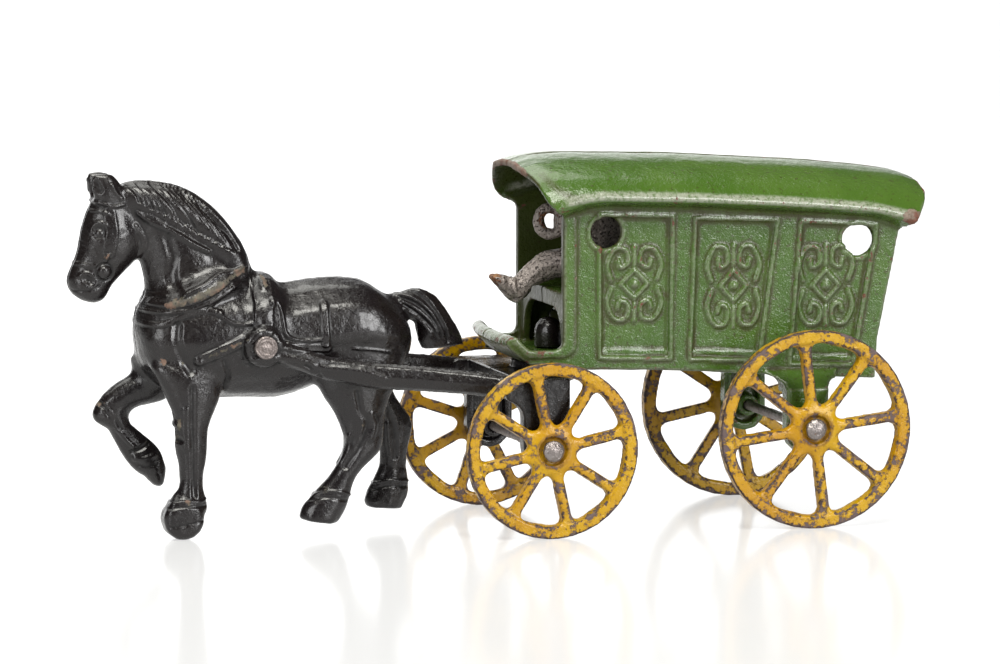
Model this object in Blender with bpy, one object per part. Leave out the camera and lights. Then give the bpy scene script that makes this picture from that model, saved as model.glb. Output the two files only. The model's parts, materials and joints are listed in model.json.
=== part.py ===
"""Cast iron toy wagon drawn by one horse, with a driver and four spoked wheels.

Run it with: blender --background --python part.py
All lengths in this file are millimetres and the meshes are made in metres.
The toy drives towards -X, its left side faces -Y, +Z is up and the floor is Z = 0.
"""
import math

import bmesh
import bpy
from mathutils import Vector

MM = 0.001

# General clearances
CLEARANCE = 0.3          # running and assembly gap between separate pieces
SEAM_GAP = 0.2           # joint line between two cast halves
OVERLAP = 1.0            # how far fused shapes and cutters run into or past each other
CUT_REACH = 300.0        # longer than the toy in every direction
FLATNESS = 0.0001        # a face bent by more than this is cut into triangles

# Running gear
TRACK_WIDTH = 58.8       # over the outer faces of the wheels
FRONT_AXLE_X = 5.5
WHEELBASE = 59.7
FRONT_WHEEL_RADIUS = 19.0
REAR_WHEEL_RADIUS = 21.7
WHEEL_THICKNESS = 2.8
RIM_HEIGHT = 2.8
SPOKE_COUNT = 8
SPOKE_WIDTH = 2.3
SPOKE_DRAFT = 0.3        # spokes and hub narrow by this much towards the outer face
SPOKE_INSET = 0.35       # spokes lie this much below the rim faces
HUB_RADIUS = 4.5
HUB_WEB_RADIUS = 5.4
WINDOW_FILLET = 1.7
TREAD_FACETS = 40
AXLE_RADIUS = 1.1
AXLE_HEAD_RADIUS = 2.5
AXLE_HEAD_HEIGHT = 1.5
HEAD_RECESS_DEPTH = 0.9
AXLE_SLACK = 0.2         # the axles sit closer in their brackets than in the wheels

# Turning pin of the front gear
KING_X = 13.0
KING_RADIUS = 2.3
KING_HEAD_RADIUS = 3.2
KING_HEAD_HEIGHT = 6.6
FIFTH_WHEEL_RADIUS = 8.5

# Wagon body
WALL_HALF_WIDTH = 18.6
WALL_THICKNESS = 1.7
ROOF_THICKNESS = 1.4
HEM_THICKNESS = 1.1      # the roof's lower edge is thinner
FRONT_DIP = 2.2          # the roof's hem hangs lower at the front corner
FRONT_DIP_LENGTH = 11.0
REAR_DIP = 1.6
REAR_DIP_LENGTH = 9.0
FLOOR_THICKNESS = 1.9
CAB_FLOOR_TOP = 38.2
CAB_WALL_FRONT_X = 10.8
SILL_FRONT_X = 3.2
SILL_RISE = 1.5          # top of the sill over the cab floor
SILL_CORNER_RADIUS = 1.7
BORDER_WIDTH = 2.8       # raised border behind the front edge of the wall
BORDER_DEPTH = 1.5       # and under the sill
BORDER_RELIEF = 0.4
BORDER_TOP = 68.6
DASH_INSET = 0.1         # the toe board's ends lie this far behind the walls' faces
DASH_BOW = 1.5
DASH_SKEW = 1.3          # the left casting's toe board reaches further than the right one's
SEAT_TOP = 51.8
SEAT_THICKNESS = 1.8
SEAT_BACK_X = 33.0
ARCH_FOOT_HALF_WIDTH = 15.0
ARCH_HEAD_HALF_WIDTH = 12.5
ARCH_RISE = 10.0
ARCH_RADIUS = 8.0
ROUND_HOLE_RADIUS = 3.5
ROUND_HOLES = ((20.6, 65.0), (78.4, 62.0))
PANEL_DEPTH = 0.6
PANEL_BEVEL = 1.1
TIE_POSTS = ((20.0, 43.5), (76.0, 38.5), (50.0, 66.5))
TIE_POST_RADIUS = 1.5
TIE_HEAD_RADIUS = 2.5
TIE_HEAD_HEIGHT = 0.9

# Axle brackets
BRACKET_WALL = 1.7
BRACKET_DEPTH = 3.6
AXLE_BOSS_RADIUS = 2.4
FRONT_BRACKET_GAP = 2.2  # from the wheel's inner face to the bracket
FRONT_BRACKET_RADIUS = 5.2
FRONT_BRACKET_NECK = 0.6   # the plate is thin from this far under the bolster
BOLSTER_TOP = 34.2
BOLSTER_THICKNESS = 2.2
REAR_BRACKET_GAP = 3.0
REAR_BRACKET_NECK = 3.4   # the plate is thin from this far under the wall
REAR_BRACKET_RADIUS = 4.8
REAR_BRACKET_DROP = 1.2  # the round end hangs this far below the axle

# Horse
NOSE_X = -95.0
HORSE_RIVET_X = -54.2
HORSE_RIVET_Z = 41.5
HORSE_RIVET_RADIUS = 1.3
HORSE_RIVET_HEAD_RADIUS = 2.7
HORSE_RIVET_HEAD_HEIGHT = 1.1
HORSE_BOSS_RADIUS = 4.3
HORSE_BOSS_Y = 12.9
SKID_RADIUS = 4.4
SKID_X = -71.3
SKID_Y = 7.0
SKID_HALF_WIDTH = 3.2
SKID_ROUNDING = 1.0
SHAFT_HALF_THICKNESS = 1.8
SHAFT_FRONT_Y = 10.8
HORSE_VOXEL = 0.6
HORSE_FACES = 2350

# Driver
DRIVER_PEG_X = 24.5
DRIVER_PEG_RADIUS = 1.4
DRIVER_VOXEL = 0.5
DRIVER_FACES = 760

REAR_AXLE_X = FRONT_AXLE_X + WHEELBASE
WHEEL_OUTER_Y = TRACK_WIDTH / 2
WHEEL_INNER_Y = WHEEL_OUTER_Y - WHEEL_THICKNESS
WALL_INNER_Y = WALL_HALF_WIDTH - WALL_THICKNESS
BRACKET_INNER_Y = WALL_INNER_Y + CLEARANCE
FRONT_BRACKET_OUTER_Y = WHEEL_INNER_Y - FRONT_BRACKET_GAP
REAR_BRACKET_OUTER_Y = WHEEL_INNER_Y - REAR_BRACKET_GAP
SHAFT_REAR_Y = FRONT_BRACKET_OUTER_Y - BRACKET_WALL - SHAFT_HALF_THICKNESS - CLEARANCE
DASH_HALF_WIDTH = WALL_HALF_WIDTH - DASH_INSET
CAB_FLOOR_BOTTOM = CAB_FLOOR_TOP - FLOOR_THICKNESS
SILL_HEIGHT = CAB_FLOOR_TOP + SILL_RISE


def interpolate(table, x):
    """Value at x on a polyline of (x, value) points, held constant past its ends."""
    if x <= table[0][0]:
        return table[0][1]
    for (x0, v0), (x1, v1) in zip(table, table[1:]):
        if x <= x1:
            return v0 + (v1 - v0) * (x - x0) / (x1 - x0)
    return table[-1][1]


def catmull(p0, p1, p2, p3, t):
    """Point at t on the Catmull-Rom span from p1 to p2, for tuples of any length."""
    t2 = t * t
    t3 = t2 * t
    return tuple(
        0.5 * (2 * b + (c - a) * t + (2 * a - 5 * b + 4 * c - d) * t2 + (3 * b - a - 3 * c + d) * t3)
        for a, b, c, d in zip(p0, p1, p2, p3)
    )


def smooth_stations(stations, steps):
    """Stations with steps - 1 blended ones between each pair."""
    rows = []
    last = len(stations) - 1
    for i in range(last):
        around = (stations[max(i - 1, 0)], stations[i], stations[i + 1], stations[min(i + 2, last)])
        rows += [catmull(*around, step / steps) for step in range(steps)]
    rows.append(stations[last])
    return rows


def principled(name, colour, roughness, metallic=0.0, coat=0.0):
    material = bpy.data.materials.new(name)
    material.use_nodes = True
    shader = material.node_tree.nodes["Principled BSDF"]
    shader.inputs["Base Color"].default_value = (*colour, 1.0)
    shader.inputs["Roughness"].default_value = roughness
    shader.inputs["Metallic"].default_value = metallic
    shader.inputs["Coat Weight"].default_value = coat
    material.diffuse_color = (*colour, 1.0)
    return material


def split_bent_faces(shape):
    """Cut every face that isn't flat into triangles, so that a Boolean reads it exactly."""
    bent = []
    for face in shape.faces:
        middle = face.calc_center_median()
        if any(abs(face.normal.dot(vert.co - middle)) > FLATNESS * MM for vert in face.verts):
            bent.append(face)
    bmesh.ops.triangulate(shape, faces=bent)


def new_object(name, vertices, faces):
    """Closed mesh object from millimetre points, with its faces turned outwards."""
    mesh = bpy.data.meshes.new(name)
    mesh.from_pydata([Vector(v) * MM for v in vertices], [], faces)
    shape = bmesh.new()
    shape.from_mesh(mesh)
    bmesh.ops.recalc_face_normals(shape, faces=shape.faces)
    split_bent_faces(shape)
    shape.to_mesh(mesh)
    shape.free()
    obj = bpy.data.objects.new(name, mesh)
    bpy.context.collection.objects.link(obj)
    return obj


def loft(rings, name="loft"):
    """Closed skin over a row of rings that have equal point counts."""
    count = len(rings[0])
    vertices = [point for points in rings for point in points]
    faces = []
    for row in range(len(rings) - 1):
        for i in range(count):
            j = (i + 1) % count
            a = row * count
            b = a + count
            faces.append((a + i, a + j, b + j, b + i))
    faces.append(tuple(range(count)))
    faces.append(tuple(range(len(vertices) - count, len(vertices))))
    return new_object(name, vertices, faces)


def sheet(outer, inner, name="sheet"):
    """Closed skin between two grids of points with equal rows and columns."""
    rows = len(outer)
    columns = len(outer[0])
    vertices = [point for grid in (outer, inner) for row in grid for point in row]
    faces = []
    for start in (0, rows * columns):
        for r in range(rows - 1):
            for c in range(columns - 1):
                a = start + r * columns + c
                faces.append((a, a + 1, a + 1 + columns, a + columns))
    border = [c for c in range(columns)]
    border += [r * columns + columns - 1 for r in range(1, rows)]
    border += [(rows - 1) * columns + c for c in range(columns - 2, -1, -1)]
    border += [r * columns for r in range(rows - 2, 0, -1)]
    for a, b in zip(border, border[1:] + border[:1]):
        faces.append((a, b, b + rows * columns, a + rows * columns))
    return new_object(name, vertices, faces)


def limb(stations, sides=12, steps=3):
    """Loft through stations (x1, z1, x2, z2, half width, y): two outline points and a width."""
    rings = []
    for x1, z1, x2, z2, half_width, y in smooth_stations(stations, steps):
        ring = []
        for i in range(sides):
            angle = 2 * math.pi * i / sides
            along = 0.5 + 0.5 * math.cos(angle)
            ring.append((x2 + (x1 - x2) * along, y + half_width * math.sin(angle), z2 + (z1 - z2) * along))
        rings.append(ring)
    return loft(rings)


def prism(outline, y0, y1, name="prism"):
    """Solid between y0 and y1 with an outline of (x, z) points."""
    return loft([[(x, y, z) for x, z in outline] for y in (y0, y1)], name)


def box(x0, x1, y0, y1, z0, z1):
    return prism([(x0, z0), (x1, z0), (x1, z1), (x0, z1)], y0, y1, "box")


def lathe(profile, centre, axis, sides, turn=0.0):
    """Solid turned about an axis from (radius, distance along the axis) points."""
    first, second = {"X": ("Y", "Z"), "Y": ("Z", "X"), "Z": ("X", "Y")}[axis]
    rings = []
    for radius, distance in profile:
        ring = []
        for i in range(sides):
            angle = turn + 2 * math.pi * i / sides
            place = {axis: distance, first: radius * math.cos(angle), second: radius * math.sin(angle)}
            ring.append(tuple(c + place[k] for c, k in zip(centre, "XYZ")))
        rings.append(ring)
    return loft(rings, "lathe")


def cylinder(radius, start, end, centre, axis, sides=24, turn=0.0):
    return lathe([(radius, start), (radius, end)], centre, axis, sides, turn)


def wall_bore(radius, x, z, side, sides):
    """Cutter for a round hole through one side wall."""
    start = side * (WALL_INNER_Y - OVERLAP)
    end = side * (WALL_HALF_WIDTH + OVERLAP)
    return cylinder(radius, start, end, (x, 0, z), "Y", sides)


def beyond_seam(side):
    """Cutter for everything on the other side of the joint line."""
    return box(-CUT_REACH, CUT_REACH, side * SEAM_GAP / 2, -side * CUT_REACH, -CUT_REACH, CUT_REACH)


def dome_profile(radius, base, height, steps=3):
    """Profile points of a low rounded head from its rim up to a small flat crown."""
    points = []
    for step in range(steps + 1):
        angle = 0.94 * math.pi / 2 * step / steps
        points.append((radius * math.cos(angle), base + height * math.sin(angle)))
    return points


def rounded_outline(corners, steps=3):
    """Outline with each (x, z, radius) corner replaced by an arc."""
    points = []
    count = len(corners)
    for i, (x, z, radius) in enumerate(corners):
        corner = Vector((x, z))
        before = Vector(corners[i - 1][:2]) - corner
        after = Vector(corners[(i + 1) % count][:2]) - corner
        if radius <= 0:
            points.append((x, z))
            continue
        half = before.angle(after) / 2
        reach = min(radius / math.tan(half), 0.49 * before.length, 0.49 * after.length)
        start = corner + before.normalized() * reach
        end = corner + after.normalized() * reach
        for step in range(steps + 1):
            t = step / steps
            weight = 2 * t * (1 - t) * math.sin(half)
            total = (1 - t) ** 2 + weight + t * t
            point = ((1 - t) ** 2 * start + weight * corner + t * t * end) / total
            points.append(tuple(point))
    return points


def inset_outline(points, distance):
    """Outline moved inwards by a distance, for a convex outline."""
    centre = sum((Vector(p) for p in points), Vector((0, 0))) / len(points)
    result = []
    count = len(points)
    for i in range(count):
        here = Vector(points[i])
        into = (here - Vector(points[i - 1])).normalized()
        out = (Vector(points[(i + 1) % count]) - here).normalized()
        normal_in = Vector((-into.y, into.x))
        normal_out = Vector((-out.y, out.x))
        if normal_in.dot(centre - here) < 0:
            normal_in = -normal_in
        if normal_out.dot(centre - here) < 0:
            normal_out = -normal_out
        bisector = (normal_in + normal_out).normalized()
        result.append(tuple(here + bisector * (distance / max(bisector.dot(normal_in), 0.3))))
    return result


def combine(target, tools, operation):
    """Apply one Boolean after another to the target and delete the tools."""
    for tool in tools:
        modifier = target.modifiers.new("combine", "BOOLEAN")
        modifier.operation = operation
        modifier.object = tool
        bake(target)
        bpy.data.objects.remove(tool)
    return target


def bake(obj):
    """Turn an object's modifiers into plain mesh."""
    graph = bpy.context.evaluated_depsgraph_get()
    mesh = bpy.data.meshes.new_from_object(obj.evaluated_get(graph))
    shape = bmesh.new()
    shape.from_mesh(mesh)
    split_bent_faces(shape)
    shape.to_mesh(mesh)
    shape.free()
    obj.modifiers.clear()
    obj.data = mesh


def merge(objects):
    """One object holding the meshes of several, still as separate closed shells."""
    shape = bmesh.new()
    for obj in objects:
        shape.from_mesh(obj.data)
        bpy.data.objects.remove(obj)
    mesh = bpy.data.meshes.new("merged")
    shape.to_mesh(mesh)
    shape.free()
    merged = bpy.data.objects.new("merged", mesh)
    bpy.context.collection.objects.link(merged)
    return merged


def cast_shape(pieces, voxel, smoothing, face_count):
    """Melt overlapping pieces into one smooth casting with about face_count triangles."""
    obj = merge(pieces)
    remesh = obj.modifiers.new("melt", "REMESH")
    remesh.mode = "VOXEL"
    remesh.voxel_size = voxel * MM
    smooth = obj.modifiers.new("smooth", "SMOOTH")
    smooth.factor = 0.5
    smooth.iterations = smoothing
    bake(obj)
    triangles = sum(len(face.vertices) - 2 for face in obj.data.polygons)
    reduce = obj.modifiers.new("reduce", "DECIMATE")
    reduce.ratio = min(1.0, face_count / triangles)
    bake(obj)
    return obj


def finish(obj, name, material, origin=(0.0, 0.0, 0.0)):
    """Name the piece, give it its material and put its origin on a point in millimetres."""
    obj.name = name
    obj.data.name = name
    obj.data.materials.clear()
    obj.data.materials.append(material)
    shape = bmesh.new()
    shape.from_mesh(obj.data)
    bmesh.ops.remove_doubles(shape, verts=shape.verts, dist=0.002 * MM)
    bmesh.ops.dissolve_degenerate(shape, dist=0.002 * MM, edges=shape.edges)
    bmesh.ops.triangulate(shape, faces=[face for face in shape.faces if len(face.verts) > 4])
    bmesh.ops.translate(shape, verts=shape.verts, vec=-Vector(origin) * MM)
    shape.to_mesh(obj.data)
    shape.free()
    obj.location = Vector(origin) * MM
    return obj


# Wheels

def wheel_window(radius, angle, draft):
    """Outline of the opening between two spokes, centred on an angle and narrowed by a draft."""
    half_pitch = math.pi / SPOKE_COUNT
    rim_radius = radius - RIM_HEIGHT - draft
    side = SPOKE_WIDTH / 2 + draft
    apex = side / math.sin(half_pitch)
    apex_fillet = (HUB_WEB_RADIUS + draft - apex) / (1 / math.sin(half_pitch) - 1)
    edge_angle = half_pitch - math.asin(side / rim_radius)
    corners = [(apex, 0.0, apex_fillet)]
    for share, fillet in ((-1.0, WINDOW_FILLET), (-0.4, 0.0), (0.4, 0.0), (1.0, WINDOW_FILLET)):
        around = edge_angle * share
        reach = rim_radius if fillet == 0 else rim_radius * 1.01
        corners.append((reach * math.cos(around), reach * math.sin(around), fillet))
    cos_a = math.cos(angle)
    sin_a = math.sin(angle)
    return [(x * cos_a - z * sin_a, x * sin_a + z * cos_a) for x, z in rounded_outline(corners, 2)]


def make_wheel(name, axle_x, radius, side, bracket_y, spoke_angle, material):
    """Spoked wheel whose hub reaches inwards to its bracket; a flat facet rests on the floor."""
    centre = (axle_x, 0.0, radius)
    facet = math.pi / TREAD_FACETS
    outer = side * WHEEL_OUTER_Y
    inner = side * WHEEL_INNER_Y
    wheel = cylinder(radius / math.cos(facet), inner, outer, centre, "Y", TREAD_FACETS, facet)
    for k in range(SPOKE_COUNT):
        angle = math.radians(spoke_angle) + (2 * k + 1) * math.pi / SPOKE_COUNT
        rings = []
        for y, draft in ((inner - side * OVERLAP, SPOKE_DRAFT), (outer + side * OVERLAP, -SPOKE_DRAFT)):
            rings.append([(x + axle_x, y, z + radius) for x, z in wheel_window(radius, angle, draft)])
        combine(wheel, [loft(rings, "window")], "DIFFERENCE")
    groove_out = radius - RIM_HEIGHT + SPOKE_INSET
    for face, away in ((outer, side), (inner, -side)):
        ring = cylinder(groove_out, face - away * SPOKE_INSET, face + away * OVERLAP, centre, "Y", 24)
        core = cylinder(HUB_RADIUS, face - away * OVERLAP, face + away * 2 * OVERLAP, centre, "Y", 16)
        combine(wheel, [combine(ring, [core], "DIFFERENCE")], "DIFFERENCE")
    boss_end = side * (bracket_y + CLEARANCE)
    boss = lathe(
        [(HUB_RADIUS - 1.2, boss_end), (HUB_RADIUS - 0.4, inner + side * 0.6)], centre, "Y", 16
    )
    combine(wheel, [boss], "UNION")
    recess = cylinder(
        AXLE_HEAD_RADIUS + 0.7, outer - side * HEAD_RECESS_DEPTH, outer + side * OVERLAP, centre, "Y", 12
    )
    bore = cylinder(
        AXLE_RADIUS + CLEARANCE, boss_end - side * OVERLAP, outer + side * OVERLAP, centre, "Y", 12
    )
    combine(wheel, [recess, bore], "DIFFERENCE")
    return finish(wheel, name, material, centre)


def make_axle(name, axle_x, axle_z, material):
    """Steel axle with a round head peened over at each end."""
    seat = WHEEL_OUTER_Y - HEAD_RECESS_DEPTH + CLEARANCE
    head = dome_profile(AXLE_HEAD_RADIUS, seat + 0.3, AXLE_HEAD_HEIGHT - 0.3)
    right = [(AXLE_RADIUS, 0.0), (AXLE_RADIUS, seat), (AXLE_HEAD_RADIUS - 0.2, seat)] + head
    left = [(radius, -distance) for radius, distance in reversed(right[1:])]
    axle = lathe(left + right[1:], (axle_x, 0.0, axle_z), "Y", 12)
    return finish(axle, name, material, (axle_x, 0.0, axle_z))


# Wagon body: outlines in the side view are (x, z) tables measured along the toy

ROOF_RIDGE = (
    (3.4, 79.7), (8.0, 81.2), (17.5, 81.6), (36.0, 81.0),
    (59.0, 79.7), (80.0, 77.9), (91.5, 76.2), (95.0, 75.0),
)
WALL_BOTTOM = ((2.9, 36.7), (14.6, 35.1), (44.0, 34.3), (48.5, 33.4), (83.0, 31.3))

# Roof section from the ridge to the top of the wall: half width, drop below the ridge,
# front x, rear x, thickness, and how far the point follows the dips of the hem
ROOF_SECTION = (
    (-OVERLAP, 0.0, 3.4, 94.2, ROOF_THICKNESS, 0.0),
    (6.0, 0.35, 3.2, 94.6, ROOF_THICKNESS, 0.0),
    (11.0, 1.1, 3.3, 94.9, ROOF_THICKNESS, 0.0),
    (15.2, 2.6, 4.4, 95.0, 1.2, 0.05),
    (18.2, 4.0, 5.1, 94.0, HEM_THICKNESS, 0.15),
    (20.8, 5.9, 5.9, 92.6, HEM_THICKNESS, 0.4),
    (22.3, 7.4, 6.9, 91.5, HEM_THICKNESS, 0.8),
    (22.8, 8.7, 7.9, 90.7, HEM_THICKNESS, 1.0),
    (22.3, 9.6, 8.8, 89.9, HEM_THICKNESS, 1.0),
    (20.9, 10.1, 9.7, 89.1, HEM_THICKNESS, 1.0),
    (19.3, 10.6, 10.4, 88.4, 1.3, 1.0),
    (WALL_HALF_WIDTH, 11.5, CAB_WALL_FRONT_X, 87.8, WALL_THICKNESS, 0.9),
)
WALL_REAR = ((31.0, 82.5), (33.0, 83.0), (39.0, 82.8), (65.0, 88.1))
SECTION_SHARES = (0.0, 0.035, 0.075, 0.13, 0.4, 0.75, 0.9, 0.96, 1.0)

# Side panels as four corners, clockwise from the top front one
PANELS = (
    ((18.9, 69.0), (35.6, 68.3), (35.2, 37.0), (19.0, 37.7)),
    ((40.8, 67.7), (59.7, 66.9), (55.5, 36.0), (39.6, 36.8)),
    ((65.0, 66.5), (82.6, 65.3), (77.2, 34.4), (62.6, 35.0)),
)

# Floor and toe board seen from the side: top x and height over the cab floor, bottom x
# and height, and how far the point follows the bow and skew of the toe board
FLOOR_SECTION = (
    (-0.5, 3.7, -0.6, 2.8, 1.0),
    (0.4, 4.5, 0.0, 2.0, 1.0),
    (1.5, 4.6, 0.9, 1.2, 0.9),
    (2.5, 3.1, 2.0, 0.1, 0.75),
    (3.6, 1.9, 3.3, -1.1, 0.5),
    (5.4, 0.7, 5.0, -1.7, 0.25),
    (8.0, 0.0, 7.6, -FLOOR_THICKNESS, 0.0),
    (24.0, 0.0, 24.0, -FLOOR_THICKNESS, 0.0),
    (28.5, -1.4, 28.5, -1.4 - FLOOR_THICKNESS, 0.0),
    (82.0, -4.9, 82.0, -4.9 - FLOOR_THICKNESS, 0.0),
)


def dash_lead(y):
    """How far the toe board's lip lies ahead of its mean line at y."""
    share = y / DASH_HALF_WIDTH
    return DASH_BOW * (1 - share ** 2) - DASH_SKEW * share


def hem_dip(x, front, rear):
    """How far the roof's hem hangs below its straight line at x."""
    near_front = max(0.0, 1 - (x - front) / FRONT_DIP_LENGTH)
    near_rear = max(0.0, 1 - (rear - x) / REAR_DIP_LENGTH)
    return FRONT_DIP * near_front ** 2 + REAR_DIP * near_rear ** 2


def inner_points(points, thicknesses):
    """Points of the inner skin: each (half width, z) point moved in by its thickness."""
    result = []
    last = len(points) - 1
    for i, thickness in enumerate(thicknesses):
        before = points[max(i - 1, 0)]
        after = points[min(i + 1, last)]
        along = Vector((after[0] - before[0], after[1] - before[1])).normalized()
        result.append((points[i][0] + along.y * thickness, points[i][1] - along.x * thickness))
    return result


def wall_front_rows():
    """Front x and height of each row of the wall, round the corner of the sill."""
    rows = []
    for angle in (0.0, 30.0, 60.0, 90.0):
        turn = math.radians(angle)
        x = CAB_WALL_FRONT_X - SILL_CORNER_RADIUS * (1 - math.cos(turn))
        rows.append((x, SILL_HEIGHT + SILL_CORNER_RADIUS * (1 - math.sin(turn))))
    rows.append((SILL_FRONT_X, None))
    return rows


def body_shell(side):
    """Roof half and side wall as one sheet of iron, open at the front, rear and bottom."""
    outer_rows = []
    inner_rows = []
    for share in SECTION_SHARES:
        section = []
        places = []
        for half_width, drop, front, rear, thickness, follow in ROOF_SECTION:
            x = front + (rear - front) * share
            z = interpolate(ROOF_RIDGE, x) - drop - follow * hem_dip(x, front, rear)
            section.append((half_width, z))
            places.append(x)
        hollow = inner_points(section, [row[4] for row in ROOF_SECTION])
        hollow[-1] = (WALL_INNER_Y, section[-1][1])
        outer = [(x, side * y, z) for x, (y, z) in zip(places, section)]
        inner = [(x, side * y, z) for x, (y, z) in zip(places, hollow)]
        for front, height in wall_front_rows():
            rear = interpolate(WALL_REAR, height or WALL_REAR[0][0])
            x = front + (rear - front) * share
            z = height or interpolate(WALL_BOTTOM, x)
            outer.append((x, side * WALL_HALF_WIDTH, z))
            inner.append((x, side * WALL_INNER_Y, z))
        outer_rows.append(outer)
        inner_rows.append(inner)
    return sheet(outer_rows, inner_rows, "shell")


def wall_border(side):
    """Raised border along the front edge of the wall, round its corner and under the sill."""
    edge = CAB_WALL_FRONT_X + 0.05
    sill = SILL_HEIGHT - 0.05
    back = CAB_WALL_FRONT_X + BORDER_WIDTH
    low = SILL_HEIGHT - BORDER_DEPTH
    lip = 1.6 - dash_lead(side * DASH_HALF_WIDTH)
    outline = rounded_outline([
        (edge, BORDER_TOP, 0), (edge, sill, SILL_CORNER_RADIUS), (lip + 3.0, sill, 2.0),
        (lip, SILL_HEIGHT + 2.9, 0), (lip - 1.0, SILL_HEIGHT + 2.0, 0), (lip + 2.2, low, 2.5),
        (back, low, SILL_CORNER_RADIUS + 1.3), (back, BORDER_TOP, 0.7),
    ])
    return prism(outline, side * (WALL_HALF_WIDTH - 0.8), side * (WALL_HALF_WIDTH + BORDER_RELIEF))


def body_floor(side):
    """Floor plate that sweeps up at the front into the curled toe board."""
    rings = []
    for share in (-OVERLAP / DASH_HALF_WIDTH, 0.34, 0.6, 0.8, 1.0):
        y = side * DASH_HALF_WIDTH * share
        top = []
        bottom = []
        for x, rise, low_x, low_rise, follow in FLOOR_SECTION:
            lead = dash_lead(y) * follow
            top.append((x - lead, y, CAB_FLOOR_TOP + rise))
            bottom.append((low_x - lead, y, CAB_FLOOR_TOP + low_rise))
        rings.append(top + bottom[::-1])
    return loft(rings, "floor")


def seat_parts(side):
    """Seat shelf and the arched board that carries its front edge."""
    front = CAB_WALL_FRONT_X + 0.6
    reach = WALL_INNER_Y + WALL_THICKNESS / 2
    y0 = -side * OVERLAP
    y1 = side * reach
    shelf = box(front, SEAT_BACK_X, y0, y1, SEAT_TOP - SEAT_THICKNESS, SEAT_TOP)
    board = box(front + 0.1, front + 1.7, y0, y1, CAB_FLOOR_TOP - 1.0, SEAT_TOP - 0.8)
    head = CAB_FLOOR_TOP + ARCH_RISE
    arch = rounded_outline([
        (-ARCH_FOOT_HALF_WIDTH, CAB_FLOOR_TOP, 0.0), (ARCH_FOOT_HALF_WIDTH, CAB_FLOOR_TOP, 0.0),
        (ARCH_HEAD_HALF_WIDTH, head, ARCH_RADIUS), (-ARCH_HEAD_HALF_WIDTH, head, ARCH_RADIUS),
    ], 5)
    cut = loft([[(x, y, z) for y, z in arch] for x in (front - OVERLAP, front + 3.0)], "arch")
    return [shelf, combine(board, [cut], "DIFFERENCE")]


def thin_bracket(bracket, side, outer_y, axle, top):
    """Leaves a bracket only its outer plate and rim under a height, with a boss round the axle."""
    inner_y = outer_y - BRACKET_DEPTH
    if inner_y < BRACKET_INNER_Y + OVERLAP:
        return bracket
    x, z = axle
    ends = sorted((side * (BRACKET_INNER_Y - OVERLAP), side * inner_y))
    combine(bracket, [box(x - CUT_REACH, x + CUT_REACH, *ends, -CUT_REACH, top)], "DIFFERENCE")
    boss_end = outer_y - 0.5 * BRACKET_WALL
    boss = cylinder(AXLE_BOSS_RADIUS, side * BRACKET_INNER_Y, side * boss_end, (x, 0, z), "Y", 16)
    return combine(bracket, [boss], "UNION")


def rear_bracket(side):
    """Axle bracket under the wall: a plate that swells outwards, with a rim round its edge."""
    x = REAR_AXLE_X
    r = REAR_BRACKET_RADIUS
    low = REAR_WHEEL_RADIUS - REAR_BRACKET_DROP
    eave = interpolate(WALL_BOTTOM, x)
    top = eave + 5.6
    corners = [
        (x - r, low - r, r), (x + r, low - r, r), (x + r, eave - 1.4, 2.5),
        (x + r + 3.2, eave, 1.5), (x + r + 3.2, top, 0), (x - r - 3.8, top, 0),
        (x - r - 3.8, eave + 0.8, 1.5), (x - r, eave - 0.6, 2.5),
    ]
    plate = prism(rounded_outline(corners), side * BRACKET_INNER_Y, side * REAR_BRACKET_OUTER_Y)
    wall_y = side * (WALL_HALF_WIDTH - 0.3)
    beyond_y = side * (REAR_BRACKET_OUTER_Y + CUT_REACH)
    slope = [
        (side * (REAR_BRACKET_OUTER_Y + 0.01), eave - 2.4), (wall_y, eave + 1.9),
        (wall_y, CUT_REACH), (beyond_y, CUT_REACH), (beyond_y, eave - 2.4),
    ]
    cut = loft([[(px, y, z) for y, z in slope] for px in (x - 4 * r, x + 4 * r)], "slope")
    combine(plate, [cut], "DIFFERENCE")
    inner = r - BRACKET_WALL
    pocket_corners = [
        (x - inner, low - inner, inner), (x + inner, low - inner, inner),
        (x + inner, eave - 2.9, 1.0), (x - inner, eave - 2.9, 1.0),
    ]
    pocket_end = REAR_BRACKET_OUTER_Y - BRACKET_WALL
    pocket = prism(rounded_outline(pocket_corners), side * (BRACKET_INNER_Y - OVERLAP), side * pocket_end)
    combine(plate, [pocket], "DIFFERENCE")
    return thin_bracket(plate, side, REAR_BRACKET_OUTER_Y, (x, REAR_WHEEL_RADIUS), eave - REAR_BRACKET_NECK)


def panel_recess(corners, side):
    """Cutter for a sunk panel with sloping edges."""
    outline = rounded_outline([(x, z, PANEL_BEVEL + 0.7) for x, z in corners], 2)
    inner = inset_outline(outline, PANEL_BEVEL)
    wall = side * WALL_HALF_WIDTH
    levels = (
        (inner, wall - side * PANEL_DEPTH), (outline, wall + side * 0.02), (outline, wall + side * OVERLAP),
    )
    return loft([[(x, y, z) for x, z in points] for points, y in levels], "panel")


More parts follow.
